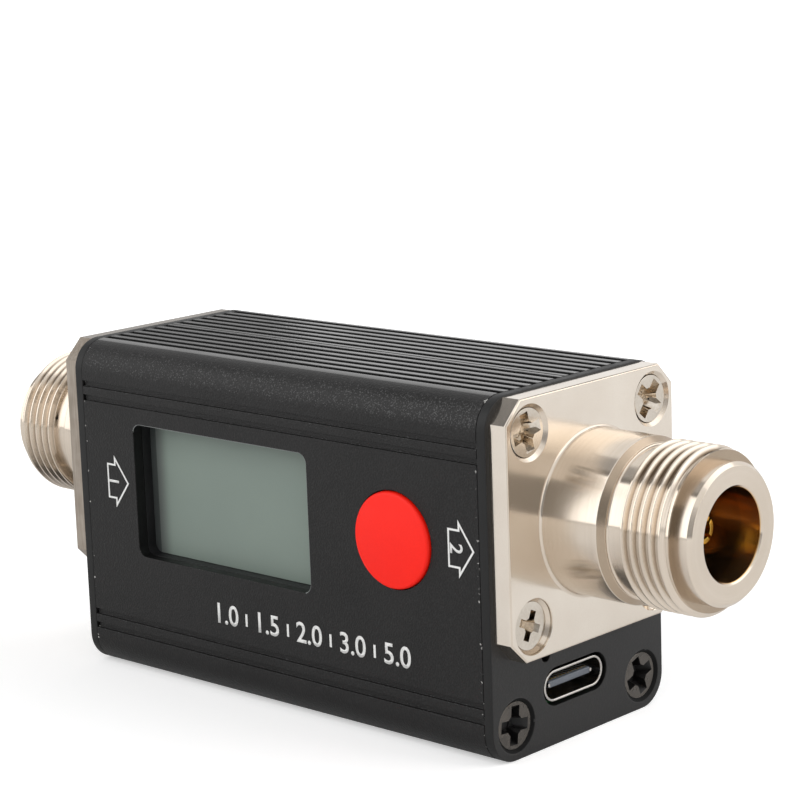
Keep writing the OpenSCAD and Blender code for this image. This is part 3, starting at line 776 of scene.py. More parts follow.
# Milled edge of the window, where the oxide is cut away: bare metal as a thin pale line, given only to the
# top and right edges as their painted highlight
BARE_HIGHLIGHT = Finish("bare_aluminium", "#9a9d9c", "#868988", 0.35, 1.0, 1.5, 0.1, 2.0, 0.002)
# Nickel-plated brass from the lathe: a warm grey mirror with faint marks round the axis, and painted shade in
# the bore and the thread's root
NICKEL = Turned(
    "nickel_plated_brass", "#dcd0c2", "#d3c6b6", 0.17, 1.0, 1.5, 0.12, 6.0, 0.0002, 0.03,
    bore_r=4.4, bore_tone="#d0a874", root_r=7.4375, root_tone="#6f5f4e", drawn_out=0.95,
)
# Chamfer and shoulder of the jack: a darker tone painted as shade, and satin
SHADED_NICKEL = Finish("cut_nickel_plate", "#b09f8b", "#a39280", 0.24, 1.0, 1.5, 0.12, 6.0, 0.0004, 0.04)
# Face and top of the flange under the plating, and the right flange's sides: milled smooth, with a lighter
# tone painted in as light
LIT_FLANGE_NICKEL = Finish("satin_nickel_plate", "#e8dfd3", "#ded3c6", 0.14, 1.0, 1.5, 0.12, 6.0, 0.0004, 0.04)
# Sawn sides of one flange under the plating: scratched along Z, and grey as painted shade, where the other
# flange's sides take the lit tone
SAWN_SHADED = Sawn("sawn_nickel_plate", "#aca297", "#8c8277", 0.42, 1.0, 1.5, 0.25, 3.0, 0.008, 0.06)
# Nickel-plated steel screws: a little duller than the jacks
SCREW_NICKEL = Finish("nickel_plated_steel", "#dcd4c9", "#c8beb1", 0.14, 1.0, 1.5, 0.2, 3.0, 0.001, 0.04)
# Walls of a plated recess, which mirror each other until they look brown
RECESS_NICKEL = Finish("plated_recess", "#e2d9cd", "#c3b6a5", 0.13, 1.0, 1.5, 0.2, 1.0, 0.002, 0.05)
# Black-oxide steel screws: dark, with a satin gloss
SCREW_BLACK = Finish("black_oxide_steel", "#46423e", "#5a554f", 0.3, 0.5, 1.5, 0.15, 2.0, 0.003, 0.08)
# Walls of a black recess, painted darker than the head as shade
RECESS_BLACK = Finish("black_recess", "#0a0909", "#121110", 0.4, 0.0, 1.5, 0.15, 1.0, 0.002, 0.08)
# Rims of the black screws: a thin ring of pale steel
PALE_RIM = Finish("rubbed_steel", "#8f8880", "#6c665f", 0.3, 1.0, 1.5, 0.15, 1.0, 0.002, 0.06)
# Zinc-plated steel nuts: bluish grey and satin
ZINC = Finish("zinc_on_steel", "#b4b6b8", "#9fa2a6", 0.35, 1.0, 1.5, 0.2, 3.0, 0.001)
# PTFE, turned: white and waxy
PTFE = Turned("ptfe", "#f1eee6", "#e6e2d8", 0.45, 0.0, 1.35, 0.1, 4.0, 0.001)
# Gold over nickel on brass: warm and glossy
GOLD = Turned("gold_plated_brass", "#f2cd6a", "#e6b850", 0.22, 1.0, 1.5, 0.08, 3.0, 0.0005)
# ABS, moulded against an eroded tool: red with a soft sheen
RED_ABS = Finish("red_abs", "#fa1603", "#ff1c06", 0.5, 0.0, 1.33, 0.2, 5.0, 0.002, 0.05)
# Nylon, moulded: black and satin
BLACK_NYLON = Finish("black_nylon", "#0d0d0e", "#141416", 0.5, 0.0, 1.53, 0.15, 4.0, 0.002)
# Spring steel, rolled: pale and bright
SPRING = Finish("rolled_spring_steel", "#cfcac0", "#bdb7ac", 0.25, 1.0, 1.5, 0.1, 2.0, 0.0006)
# Tinned steel sheet: pale grey, lightly brushed
TINNED = Finish("tinned_steel", "#c9c9c6", "#b6b7b6", 0.32, 1.0, 1.5, 0.12, 4.0, 0.0008)
# Glass-epoxy board under green solder mask
BOARD = Board("solder_mask", "#1f5a34", "#266a3d", 0.35, 0.0, 1.55, 0.3, 6.0, 0.004)
# Reflective display film: flat grey-green
FILM = Film("reflective_film", "#727f77", "#78857c", 0.5, 0.0, 1.5, 0.09, 9.0, 0.0006, 0.03)
# Dark border of the display glass
GLASS = Finish("bordered_glass", "#101311", "#171a18", 0.12, 0.0, 1.52, 0.3, 8.0, 0.0004, 0.03)
# Acrylic light guide: milky
GUIDE = Finish("milky_acrylic", "#e9ece6", "#dde2da", 0.35, 0.0, 1.49, 0.3, 6.0, 0.001)
# Epoxy chip body: black and matt, with a coarse filler
CHIP = Finish("epoxy_moulding", "#1b1b1d", "#26262a", 0.62, 0.0, 1.55, 0.12, 3.0, 0.004)
# Epoxy lens of the charging light: yellowish and clear
LENS = Finish("epoxy_lens", "#f1eecb", "#e6e2b8", 0.2, 0.0, 1.53, 0.2, 1.0, 0.001)
# Copper foil under clear lacquer
COPPER = Finish("lacquered_copper", "#c98b4e", "#b87a40", 0.3, 1.0, 1.5, 0.12, 4.0, 0.0008)
# Polyethylene foam tape: grey, with open cells
FOAM = Finish("polyethylene_foam", "#555558", "#68686b", 0.9, 0.0, 1.5, 0.3, 3.0, 0.05)
# Stainless steel shell of the charging socket
STAINLESS = Finish("stainless_steel", "#c8c4bf", "#b2aea9", 0.2, 1.0, 1.5, 0.12, 4.0, 0.0006, 0.05)
# Glass-filled nylon tongue: blue-grey
TONGUE = Finish("glass_filled_nylon", "#565b63", "#666b73", 0.45, 0.0, 1.53, 0.12, 3.0, 0.002)
# Laminated aluminium pouch: silver, slightly crinkled
POUCH = Finish("pouch_foil", "#b8bcc0", "#a8adb2", 0.35, 0.9, 1.5, 1.2, 6.0, 0.03)
# PVC insulation: red and glossy
PVC = Finish("red_pvc", "#b81d1d", "#c72a28", 0.35, 0.0, 1.53, 0.2, 3.0, 0.002)
# Screen-printed ink: white, slightly uneven
INK = Finish("white_ink", "#e9e9e7", "#dfdfdd", 0.55, 0.0, 1.5, 0.12, 3.0, 0.002)


def finished(
    piece: Piece, finish: Finish, nodes: Sequence[str] = (), body: Body = Body.METER
) -> None:
    """Scales a piece to metres, dresses it and hands it to the frame.

    Args:
        piece: The piece, in millimetres.
        finish: Its surface.
        nodes: CAD nodes that it stands for.
        body: CAD body that it rides on.
    """
    place(piece, Matrix.Scale(MM, 4))
    piece.data.materials.clear()
    piece.data.materials.append(finish.make())
    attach(piece, body.value)
    if nodes:
        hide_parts(*nodes)
    LOG.info("%s: %d faces, %s", piece.name, len(piece.data.polygons), finish.name)


def touched(piece: Piece, finish: Finish, test: FaceTest) -> None:
    """Gives some faces of a finished piece another surface.

    Args:
        piece: The piece, in metres.
        finish: The other surface.
        test: Says whether a face takes it, by its middle in millimetres and its normal.
    """
    piece.data.materials.append(finish.make())
    for face in piece.data.polygons:
        if test(face.center / MM, face.normal):
            face.material_index = len(piece.data.materials) - 1


def dressed(finish: Finish, *nodes: str) -> None:
    """Gives CAD nodes that stay a better finish.

    Args:
        finish: Their surface.
        nodes: The CAD nodes.
    """
    for node in nodes:
        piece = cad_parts[node]
        if not piece.material_slots:
            piece.data.materials.append(finish.make())
        for holder in piece.material_slots:
            holder.material = finish.make()
        LOG.info("%s: CAD shape, %s", node, finish.name)


def softened(name: str, node: str, edge: float, finish: Finish, segments: int = 2) -> Piece:
    """Replaces a CAD node by a copy with rounded edges.

    Args:
        name: The copy's name.
        node: The CAD node.
        edge: Width of the rounding in millimetres.
        finish: The copy's surface.
        segments: Faces across the rounding.

    Returns:
        The copy, finished.
    """
    piece = copied(name, node)
    eased(piece, edge, segments)
    finished(piece, finish, [node])
    return piece


# Sub-assemblies


@dataclass
class Casing:
    """Ribbed tube and its two end panels; sizes are in millimetres."""

    tube_edge: float = 0.07
    panel_edge: float = 0.13
    front_y: float = -13.0
    top_z: float = 35.2
    ribs_half: float = 9.8
    groove_depth: float = 0.5
    rib_skin: float = 0.1
    window_low: Pair = (-19.85, 13.15)
    window_high: Pair = (5.35, 27.25)
    screw_y: float = 9.6
    screw_z: float = 3.4
    sink_r: float = 2.9

    def in_window(self, middle: Vector) -> bool:
        """Whether a place is in the window or on its rim.

        Args:
            middle: The place.

        Returns:
            Whether it is.
        """
        reach = 2 * self.tube_edge
        near = self.window_low[0] - reach < middle.x < self.window_high[0] + reach
        level = self.window_low[1] - reach < middle.z < self.window_high[1] + reach
        return near and level and middle.y < 0

    def is_bare_edge(self, middle: Vector, normal: Vector) -> bool:
        """Whether a face of the tube is the milled edge at the window's top or right, which carries a painted
        highlight.
        """
        slanted = -LEVEL < normal.y < -LEANING and min(normal.x, normal.z) < -LEANING
        return self.in_window(middle) and slanted and middle.y < self.front_y + 2 * self.tube_edge

    def is_window_wall(self, middle: Vector, normal: Vector) -> bool:
        """Whether a face of the tube is a wall of the window."""
        return self.in_window(middle) and abs(normal.y) < LEANING

    def is_rib_top(self, middle: Vector, normal: Vector) -> bool:
        """Whether a face of the tube is the top of a rib."""
        return normal.z > LEVEL and middle.z > self.top_z - self.rib_skin

    def is_groove(self, middle: Vector, normal: Vector) -> bool:
        """Whether a face of the tube is a wall or the floor of a groove between two ribs."""
        depth = min(middle.z, self.top_z - middle.z) - self.tube_edge
        return abs(middle.y) < self.ribs_half and 0.0 < depth < self.groove_depth

    def is_sink(self, middle: Vector, normal: Vector) -> bool:
        """Whether a face of a panel lies in the countersink of a black screw."""
        reach = math.hypot(abs(middle.y) - self.screw_y, middle.z - self.screw_z)
        return abs(normal.x) < SLANTED and reach < self.sink_r

    def build(self) -> None:
        """Eases the edges of the tube and the panels."""
        tube = softened("case_tube", "extruded_case", self.tube_edge, ANODISED)
        # Painted light on the tube: a highlight on the window's top and right edges, shade on the window's
        # walls, sheen on the rib tops
        touched(tube, BARE_HIGHLIGHT, self.is_bare_edge)
        touched(tube, CUT_EDGE, self.is_window_wall)
        touched(tube, RIB_TOP, self.is_rib_top)
        touched(tube, GROOVE, self.is_groove)
        for side in Side:
            node = f"{side.word}_end_panel"
            panel = softened(f"{side.word}_panel", node, self.panel_edge, SHEET)
            # Painted shade on the panels' edges, and in the countersinks of the black screws
            touched(panel, CUT_EDGE, lambda middle, normal: abs(normal.x) < SLANTED)
            touched(panel, GROOVE, self.is_sink)


@dataclass
class Jack:
    """Flange jack at one end; heights count outwards from the flange's face, in millimetres."""

    side: Side
    face_x: float = 30.7
    axis_z: float = 22.55
    flange_half: float = 12.5
    flange_t: float = 2.1
    flange_chamfer: float = 2.15
    flange_edge: float = 0.2
    hole_reach: float = 9.2
    hole_r: float = 1.45
    sink_r: float = 2.65
    sink_rim: float = 0.07
    low_drop: float = 0.27
    barrel_r: float = 8.0
    barrel_l: float = 6.5
    barrel_edge: float = 0.6
    barrel_round: float = 0.12
    cut_inset: Pair = (0.08, 0.02)
    foot: float = 0.3
    neck_r: float = 7.15
    neck_fillet: float = 0.2
    thread_start: float = 8.9
    thread_phase: float = 1.87
    thread_r: float = 7.9375
    thread_pitch: float = 1.058
    thread_depth: float = 0.5
    crest_w: float = 0.16
    crest_round: float = 0.05
    flank_w: float = 0.289
    lead_start: float = 13.741
    lead_depth: float = 0.32
    ring_start: float = 14.341
    ring_r: float = 6.7
    ring_edge: float = 0.35
    ring_round: float = 0.06
    length: float = 16.041
    bore_r: float = 4.4
    bore_chamfer: float = 0.2
    bore_round: float = 0.05
    spigot_r: float = 5.5
    spigot_end: float = -4.1
    spigot_round: float = 0.1
    inner_edge: float = 0.05

    def matrix(self) -> Matrix:
        """Place of the jack's own frame in the meter."""
        turn = Matrix.Rotation(self.side.value * QUARTER, 4, "Y")
        return Matrix.Translation((self.side.value * self.face_x, 0.0, self.axis_z)) @ turn

    def cone(self, height: float) -> float:
        """Radius of the chamfer that leads onto the thread, at a height."""
        share = (height - self.lead_start) / (self.ring_start - self.lead_start)
        return self.thread_r - self.lead_depth * share

    def hollow(self, radius: float, height: float, size: float) -> list[Triple]:
        """Draws the fillet in an inner corner, outermost point first, for an outline."""
        turns = [QUARTER * step / FILLET_STEPS for step in range(FILLET_STEPS + 1)]
        return [(radius + size * (1 - math.sin(t)), height + size * (1 - math.cos(t)), 0.0) for t in turns]

    def is_flange_side(self, middle: Vector, normal: Vector) -> bool:
        """Whether a face lies on the narrow sides of the flange, other than its bright upper one."""
        reach = max(abs(middle.y), abs(middle.z - self.axis_z)) + self.flange_chamfer
        return abs(normal.x) < ALONG and normal.z < SQUARE and reach > self.flange_half

    def is_flange_face(self, middle: Vector, normal: Vector) -> bool:
        """Whether a face lies on the front or the top of the flange."""
        front = abs(normal.x) > SQUARE and abs(abs(middle.x) - self.face_x) < WELD
        return front or (normal.z > SQUARE and middle.z > self.axis_z + self.flange_half - WELD)

    def is_cut(self, middle: Vector, normal: Vector) -> bool:
        """Whether a face lies on the barrel's chamfer or the shoulder in front of the thread, which take
        painted shade.

        Args:
            middle: The face's middle.
            normal: Its normal.

        Returns:
            Whether it does.
        """
        station = abs(middle.x) - self.face_x
        back, front = self.cut_inset
        chamfer = self.barrel_l + back < station < self.barrel_l + self.barrel_edge - front
        return chamfer or (abs(station - self.ring_start) < NEAR and abs(normal.x) > SQUARE)

    def thread(self) -> Piece:
        """Winds the coupling thread as one ridge, cut off square at the neck and by a cone at the front.

        Returns:
            The open ribbon of the thread.
        """
        root = self.thread_r - self.thread_depth
        flat = (self.thread_pitch - self.crest_w - 2 * self.flank_w) / 2
        up, top, down = flat + self.flank_w, flat + self.flank_w + self.crest_w, self.thread_pitch - flat
        corners = [
            (root, 0.0, 0.0),
            (root, flat, self.crest_round),
            (self.thread_r, up, self.crest_round),
            (self.thread_r, top, self.crest_round),
            (root, down, self.crest_round),
            (root, self.thread_pitch, 0.0),
        ]
        base = self.thread_start - self.thread_phase * self.thread_pitch
        outline = rounded(corners, segments=3)
        ribbon = drawn("thread", [(radius, 0.0, base + height) for radius, height in outline])
        screw = ribbon.modifiers.new("screw", "SCREW")
        screw.axis = "Z"
        screw.angle = math.tau
        screw.screw_offset = self.thread_pitch
        screw.iterations = 1 + math.ceil((self.ring_start - base) / self.thread_pitch)
        screw.steps = screw.render_steps = TURN_STEPS
        apply(ribbon, screw)
        with editing(ribbon):
            merge()
            mesh = bmesh.from_edit_mesh(ribbon.data)
            for vert in mesh.verts:
                reach = math.hypot(vert.co.x, vert.co.y)
                limit = max(self.cone(vert.co.z), self.ring_r)
                if reach > limit:
                    vert.co.x *= limit / reach
                    vert.co.y *= limit / reach
            bmesh.update_edit_mesh(ribbon.data)
            for height, lower in ((self.thread_start, True), (self.ring_start, False)):
                pick_all()
                bpy.ops.mesh.bisect(
                    plane_co=(0, 0, height), plane_no=(0, 0, 1), clear_inner=lower, clear_outer=not lower
                )
        return ribbon

    def shell(self) -> Piece:
        """Turns everything but the thread, open where the thread joins on.

        Returns:
            The open turned shape.
        """
        cut_end = self.barrel_l + self.barrel_edge
        corners = [
            (self.ring_r, self.ring_start, 0.0),
            (self.ring_r, self.length - self.ring_edge, self.ring_round),
            (self.ring_r - self.ring_edge, self.length, self.ring_round),
            (self.bore_r + self.bore_chamfer, self.length, self.bore_round),
            (self.bore_r, self.length - self.bore_chamfer, self.bore_round),
            (self.bore_r, self.spigot_end, 0.0),
            (self.spigot_r, self.spigot_end, self.spigot_round),
            (self.spigot_r, -self.flange_t - NEAR, 0.0),
            (self.spigot_r, -self.flange_t / 2, 0.0),
            (self.barrel_r + self.foot, -self.flange_t / 2, 0.0),
            *self.hollow(self.barrel_r, 0.0, self.foot),
            (self.barrel_r, self.barrel_l, self.barrel_round),
            (self.barrel_r - self.barrel_edge, cut_end, self.bore_round),
            *self.hollow(self.neck_r, cut_end, self.neck_fillet),
            (self.neck_r, self.thread_start, 0.0),
        ]
        return lathe("shell", rounded(corners))

    def plate(self) -> Piece:
        """Makes the square flange with its cut corners and countersunk holes.

        Returns:
            The flange plate.
        """
        half_t = self.flange_t / 2
        box = (2 * self.flange_half, 2 * self.flange_half, self.flange_t)
        plate = start(bpy.ops.mesh.primitive_cube_add, size=1.0, location=(0, 0, -half_t), scale=box)
        with editing(plate):
            pick(plate, Part.EDGE, lambda edge: abs(edge.verts[0].co.z - edge.verts[1].co.z) > half_t)
            bpy.ops.mesh.bevel(offset=self.flange_chamfer, segments=1, affect="EDGES")
            pick(plate, Part.EDGE, lambda edge: all(vert.co.z > -WELD for vert in edge.verts))
            bpy.ops.mesh.bevel(offset=self.flange_edge, segments=3, affect="EDGES")
        for row, drop in ((1, 0.0), (-1, self.low_drop)):
            outline = [
                (0.0, 1.0),
                (self.sink_r + self.sink_rim, 1.0),
                (self.sink_r + self.sink_rim, 0.0),
                (self.sink_r, -self.sink_rim),
                (self.sink_r, -max(drop, self.sink_rim)),
                (self.hole_r, -drop - self.sink_r + self.hole_r),
                (self.hole_r, -2 * self.flange_t),
                (0.0, -2 * self.flange_t),
            ]
            for column in (1, -1):
                cutter = lathe("cutter", outline)
                spot = (-self.side.value * row * self.hole_reach, column * self.hole_reach, 0.0)
                place(cutter, Matrix.Translation(spot))
                combine(plate, cutter, Mix.CUT)
        return plate

    def build(self) -> None:
        """Joins shell, thread and flange, and eases the insulator and the contact."""
        word = self.side.word
        body = welded(f"{word}_jack", [self.shell(), self.thread()])
        with editing(body):
            for height in (self.thread_start, self.ring_start):
                pick(
                    body,
                    Part.EDGE,
                    lambda edge: edge.is_boundary and all(abs(v.co.z - height) < NEAR for v in edge.verts),
                )
                bpy.ops.mesh.bridge_edge_loops()
            merge()
            turn_out()
        combine(body, self.plate(), Mix.JOIN)
        shade(body)
        place(body, self.matrix())
        finished(body, NICKEL, [f"{word}_connector_body"])
        # Painted light on the jack: a lighter flange, and shade on the chamfer, the shoulder and the left
        # flange's sides
        touched(body, LIT_FLANGE_NICKEL, self.is_flange_face)
        touched(body, SHADED_NICKEL, self.is_cut)
        touched(body, SAWN_SHADED if self.side is Side.LEFT else LIT_FLANGE_NICKEL, self.is_flange_side)
        for name, finish, slot in (("insulator", PTFE, "white_insulator"), ("contact", GOLD, "gold_plate")):
            softened(f"{word}_jack_{name}", f"{word}_{name}", self.inner_edge, finish)


@dataclass(frozen=True)
class Recess:
    """Cross recess of a screw: width and span of its arms in millimetres, and how they narrow."""

    width: float
    span: float
    depth: float = 1.3
    floor: Pair = (0.55, 0.8)
    well: float = 0.95
    well_floor: float = 0.6
    well_deeper: float = 0.1
    above: float = 0.05


@dataclass
class Screws:
    """Screws at one end, four in the flange and two in the panel, in millimetres; turns are in degrees."""

    side: Side
    flange_x: float = 30.42
    panel_x: float = 28.32
    low_drop: float = 0.27
    axis_z: float = 22.55
    reach: float = 9.2
    panel_y: float = 9.6
    panel_z: float = 3.4
    head_r: float = 2.35
    head_edge: float = 0.1
    shank_r: float = 1.25
    tip: float = 0.3
    recess_z: Pair = (-1.6, -0.03)
    recess_r: float = 2.27
    rim: Pair = (0.14, 0.12)
    long_l: float = 8.0
    short_l: float = 6.0
    large: Recess = Recess(1.15, 3.9)
    small: Recess = Recess(0.8, 3.0)
    flange_turns: tuple[float, ...] = (14.0, 52.0, -24.0, 8.0)
    panel_turns: Pair = (-6.0, 20.0)

    def arm(self, recess: Recess) -> Piece:
        """Makes one arm of the cross, which narrows towards its floor.

        Args:
            recess: The recess.

        Returns:
            The arm, along X.
        """
        arm = start(
            bpy.ops.mesh.primitive_cube_add,
            size=1.0,
            location=(0, 0, (recess.above - recess.depth) / 2),
            scale=(recess.span, recess.width, recess.depth + recess.above),
        )
        with editing(arm):
            pick(arm, Part.VERT, lambda vert: vert.co.z < -recess.depth / 2)
            bpy.ops.transform.resize(value=(*recess.floor, 1.0), center_override=(0, 0, -recess.depth))
        return arm

    def screw(self, length: float, recess: Recess) -> Piece:
        """Turns a flat-head screw and cuts its cross.

        Args:
            length: Its length with the head.
            recess: Its recess.

        Returns:
            The screw, with its top at zero and pointing down.
        """
        corners = [
            (0.0, 0.0, 0.0),
            (self.head_r, 0.0, self.head_edge),
            (self.head_r - self.head_edge, -self.head_edge, 0.0),
            (self.shank_r, self.shank_r - self.head_r, self.head_edge),
            (self.shank_r, self.tip - length, 0.0),
            (self.shank_r - self.tip, -length, 0.0),
            (0.0, -length, 0.0),
        ]
        body = lathe("screw_kind", rounded(corners))
        first = self.arm(recess)
        second = twin(first, "arm")
        place(second, Matrix.Rotation(QUARTER, 4, "Z"))
        well, top, floor = recess.well * recess.width, recess.above, -recess.depth - recess.well_deeper
        outline = [(0.0, top), (well, top), (recess.well_floor * well, floor), (0.0, floor)]
        for tool in (first, second, lathe("well", outline)):
            combine(body, tool, Mix.CUT)
        shade(body)
        return body

    def below(self, middle: Vector, spots: Sequence[Vector]) -> Pair:
        """Finds how a place lies in the nearest screw.

        Args:
            middle: The place.
            spots: Middles of the screw heads.

        Returns:
            Its distance from the screw's axis, and its height over the head's top.
        """
        aside = [Vector((middle.y - spot.y, middle.z - spot.z)).length for spot in spots]
        nearest = min(range(len(spots)), key=aside.__getitem__)
        return aside[nearest], self.side.value * (middle.x - spots[nearest].x)

    def is_recess(self, middle: Vector, spots: Sequence[Vector]) -> bool:
        """Whether a face lies in a cross recess."""
        reach, height = self.below(middle, spots)
        return self.recess_z[0] < height < self.recess_z[1] and reach < self.recess_r + height

    def is_rim(self, middle: Vector, spots: Sequence[Vector]) -> bool:
        """Whether a face lies on the rim of a head."""
        reach, height = self.below(middle, spots)
        return reach > self.head_r - self.rim[0] and height > -self.rim[1]

    def seated(
        self, name: str, kinds: Sequence[Piece], spots: Sequence[Vector], turns: Sequence[float]
    ) -> Piece:
        """Sets copies of screws in place and joins them.

        Args:
            name: Name of the set.
            kinds: The screw that each is a copy of.
            spots: Middles of their heads.
            turns: Turns of their recesses.

        Returns:
            The set.
        """
        sign, copies = self.side.value, []
        for kind, spot, turn in zip(kinds, spots, turns):
            copy = twin(kind, "screw")
            angle = Matrix.Rotation(sign * math.radians(turn), 4, "Z")
            place(copy, Matrix.Translation(spot) @ Matrix.Rotation(sign * QUARTER, 4, "Y") @ angle)
            copies.append(copy)
        return welded(name, copies)

    def build(self) -> None:
        """Models each kind of screw once and sets its copies in place."""
        sign, word = self.side.value, self.side.word
        long, short = self.screw(self.long_l, self.large), self.screw(self.short_l, self.small)
        corners = [(0.0, 1, -1), (0.0, 1, 1), (self.low_drop, -1, -1), (self.low_drop, -1, 1)]
        in_flange = [
            Vector((sign * (self.flange_x - drop), column * self.reach, self.axis_z + row * self.reach))
            for drop, row, column in corners
        ]
        in_panel = [Vector((sign * self.panel_x, column * self.panel_y, self.panel_z)) for column in (-1, 1)]
        plated = self.seated(f"{word}_jack_screws", (long, long, short, short), in_flange, self.flange_turns)
        black = self.seated(f"{word}_black_screws", (long, long), in_panel, self.panel_turns)
        for kind in (long, short):
            bpy.data.objects.remove(kind)
        finished(plated, SCREW_NICKEL, [f"{word}_flange_screws"])
        touched(plated, RECESS_NICKEL, lambda middle, normal: self.is_recess(middle, in_flange))
        finished(black, SCREW_BLACK, [f"{word}_panel_screws"])
        # Painted shade in the recesses of the black screws
        touched(black, RECESS_BLACK, lambda middle, normal: self.is_recess(middle, in_panel))
        touched(black, PALE_RIM, lambda middle, normal: self.is_rim(middle, in_panel))


@dataclass
class PushButton:
    """Round red cap; heights count forwards from the inside of the front wall, in millimetres.

    Under it sits a steel dome.
    """

    x: float = 16.7
    inner_y: float = -11.8
    z: float = 20.35
    radius: float = 4.75
    crown: float = 1.9
    dome: float = 0.35
    edge: float = 0.35
    lip_r: float = 5.45
    lip_top: float = -0.05
    base: float = -0.85
    seat_r: float = 1.79
    seat_depth: float = 0.2
    crown_steps: int = 12
    edge_steps: int = 8
    edge_lean: float = 0.5
    spring_floor_y: float = -7.7
    spring_left: float = 0.38

    def outline(self) -> list[Pair]:
        """Draws half of the cap's section.

        Returns:
            Radius and height of each point, from the crown's middle to the seat's middle.
        """
        ball = (self.radius**2 + self.dome**2) / (2 * self.dome)
        shoulder = self.radius - self.edge
        points = []
        for step in range(self.crown_steps + 1):
            reach = shoulder * step / self.crown_steps
            points.append((reach, self.crown - ball + math.sqrt(ball**2 - reach**2)))
        centre = points[-1][1] - self.edge
        first = QUARTER - math.asin(shoulder / ball) * self.edge_lean
        for step in range(1, self.edge_steps + 1):
            angle = first * (1 - step / self.edge_steps)
            points.append((shoulder + self.edge * math.cos(angle), centre + self.edge * math.sin(angle)))
        return points + [
            (self.radius, self.lip_top),
            (self.lip_r, self.lip_top),
            (self.lip_r, self.base),
            (self.seat_r, self.base),
            (self.seat_r, self.base + self.seat_depth),
            (0.0, self.base + self.seat_depth),
        ]

    def build(self) -> None:
        """Turns the cap and dresses the pieces under it, the steel dome among them."""
        cap = lathe("red_button", self.outline())
        shade(cap)
        place(cap, Matrix.Translation((self.x, self.inner_y, self.z)) @ Matrix.Rotation(QUARTER, 4, "X"))
        finished(cap, RED_ABS, ["button_cap"], Body.BUTTON)
        dressed(BLACK_NYLON, "switch_plunger", "switch_body")
        dressed(TINNED, "switch_cover", "switch_legs")
        dome = copied("switch_dome", "snap_dome")
        shade(dome)
        finished(dome, SPRING, ["snap_dome"])
        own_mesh(dome)


@dataclass
class Display:
    """Reflective display behind the window."""

    frame_edge: float = 0.06

    def build(self) -> None:
        """Eases the black frame and dresses the layers behind it."""
        softened("display_surround", "lcd_frame", self.frame_edge, BLACK_NYLON)
        dressed(FILM, "lcd_polariser")
        dressed(GLASS, "lcd_glass")
        dressed(GUIDE, "lcd_backlight")
        dressed(TINNED, "lcd_pins")
        dressed(BOARD, "display_board")
        dressed(CHIP, "processor_chip")
        dressed(LENS, "charge_led")


@dataclass
class ChargingSocket:
    """Charging socket under the right jack; sizes are in millimetres."""

    shell_edge: float = 0.13
    tongue_edge: float = 0.18
    centre_y: float = -0.75
    centre_z: float = 5.76
    tip_x: float = 27.9
    tongue_w: float = 6.3
    tongue_t: float = 0.7
    contacts: int = 12
    contact_pitch: float = 0.5
    contact_w: float = 0.26
    contact_l: float = 3.4
    contact_back: float = 0.45
    contact_root: float = 0.05
    contact_rise: float = 0.02
    contact_edge: float = 0.015
    rail_w: float = 0.3
    rail_l: float = 4.0
    rail_half_t: float = 0.18
    rail_ahead: float = 0.03
    rail_edge: float = 0.06

    def strip(self, name: str, low: Sequence[float], high: Sequence[float], edge: float) -> Piece:
        """Makes a small bar with rounded edges.

        Args:
            name: The bar's name.
            low: Its lowest corner.
            high: Its highest corner.
            edge: Width of the rounding.

        Returns:
            The bar.
        """
        first, last = Vector(low), Vector(high)
        middle, size = (first + last) / 2, last - first
        bar = start(bpy.ops.mesh.primitive_cube_add, size=1.0, location=middle, scale=size)
        bar.name = name
        with editing(bar):
            pick_all()
            bpy.ops.mesh.bevel(offset=edge, segments=2, affect="EDGES")
        return bar

    def contact_set(self) -> Piece:
        """Makes the contacts on both faces of the tongue.

        Returns:
            The contacts, joined.
        """
        front, face = self.tip_x - self.contact_back, self.centre_z + self.tongue_t / 2
        first_y = self.centre_y - self.contact_pitch * (self.contacts - 1) / 2
        low = (front - self.contact_l, first_y - self.contact_w / 2, face - self.contact_root)
        high = (front, first_y + self.contact_w / 2, face + self.contact_rise)
        model = self.strip("contact", low, high, self.contact_edge)
        copies = []
        for number in range(self.contacts):
            for flip in (1, -1):
                copy = twin(model, "contact")
                mirror = Matrix.Translation((0, 0, self.centre_z)) @ Matrix.Diagonal((1, 1, flip, 1))
                shift = Matrix.Translation((0, number * self.contact_pitch, -self.centre_z))
                place(copy, mirror @ shift)
                if flip < 0:
                    with editing(copy):
                        turn_out()
                copies.append(copy)
        bpy.data.objects.remove(model)
        return welded("socket_contacts", copies)

    def rail_set(self) -> Piece:
        """Makes the steel edges of the tongue.

        Returns:
            The two edges, joined.
        """
        rails = []
        for sign in (1, -1):
            edge_y = self.centre_y + sign * self.tongue_w / 2
            low = (self.tip_x - self.rail_l, edge_y - self.rail_w / 2, self.centre_z - self.rail_half_t)
            high = (self.tip_x + self.rail_ahead, edge_y + self.rail_w / 2, self.centre_z + self.rail_half_t)
            rails.append(self.strip("rail", low, high, self.rail_edge))
        return welded("socket_plate_edges", rails)

    def build(self) -> None:
        """Eases shell and tongue, and adds the gold contacts and the steel edges of the tongue."""
        softened("socket_shell", "usb_shell", self.shell_edge, STAINLESS, 3)
        softened("socket_tongue", "usb_tongue", self.tongue_edge, TONGUE, 3)
        for piece, finish, slot in (
            (self.contact_set(), GOLD, "gold_plate"),
            (self.rail_set(), STAINLESS, "usb_steel"),
        ):
            shade(piece)
            finished(piece, finish)


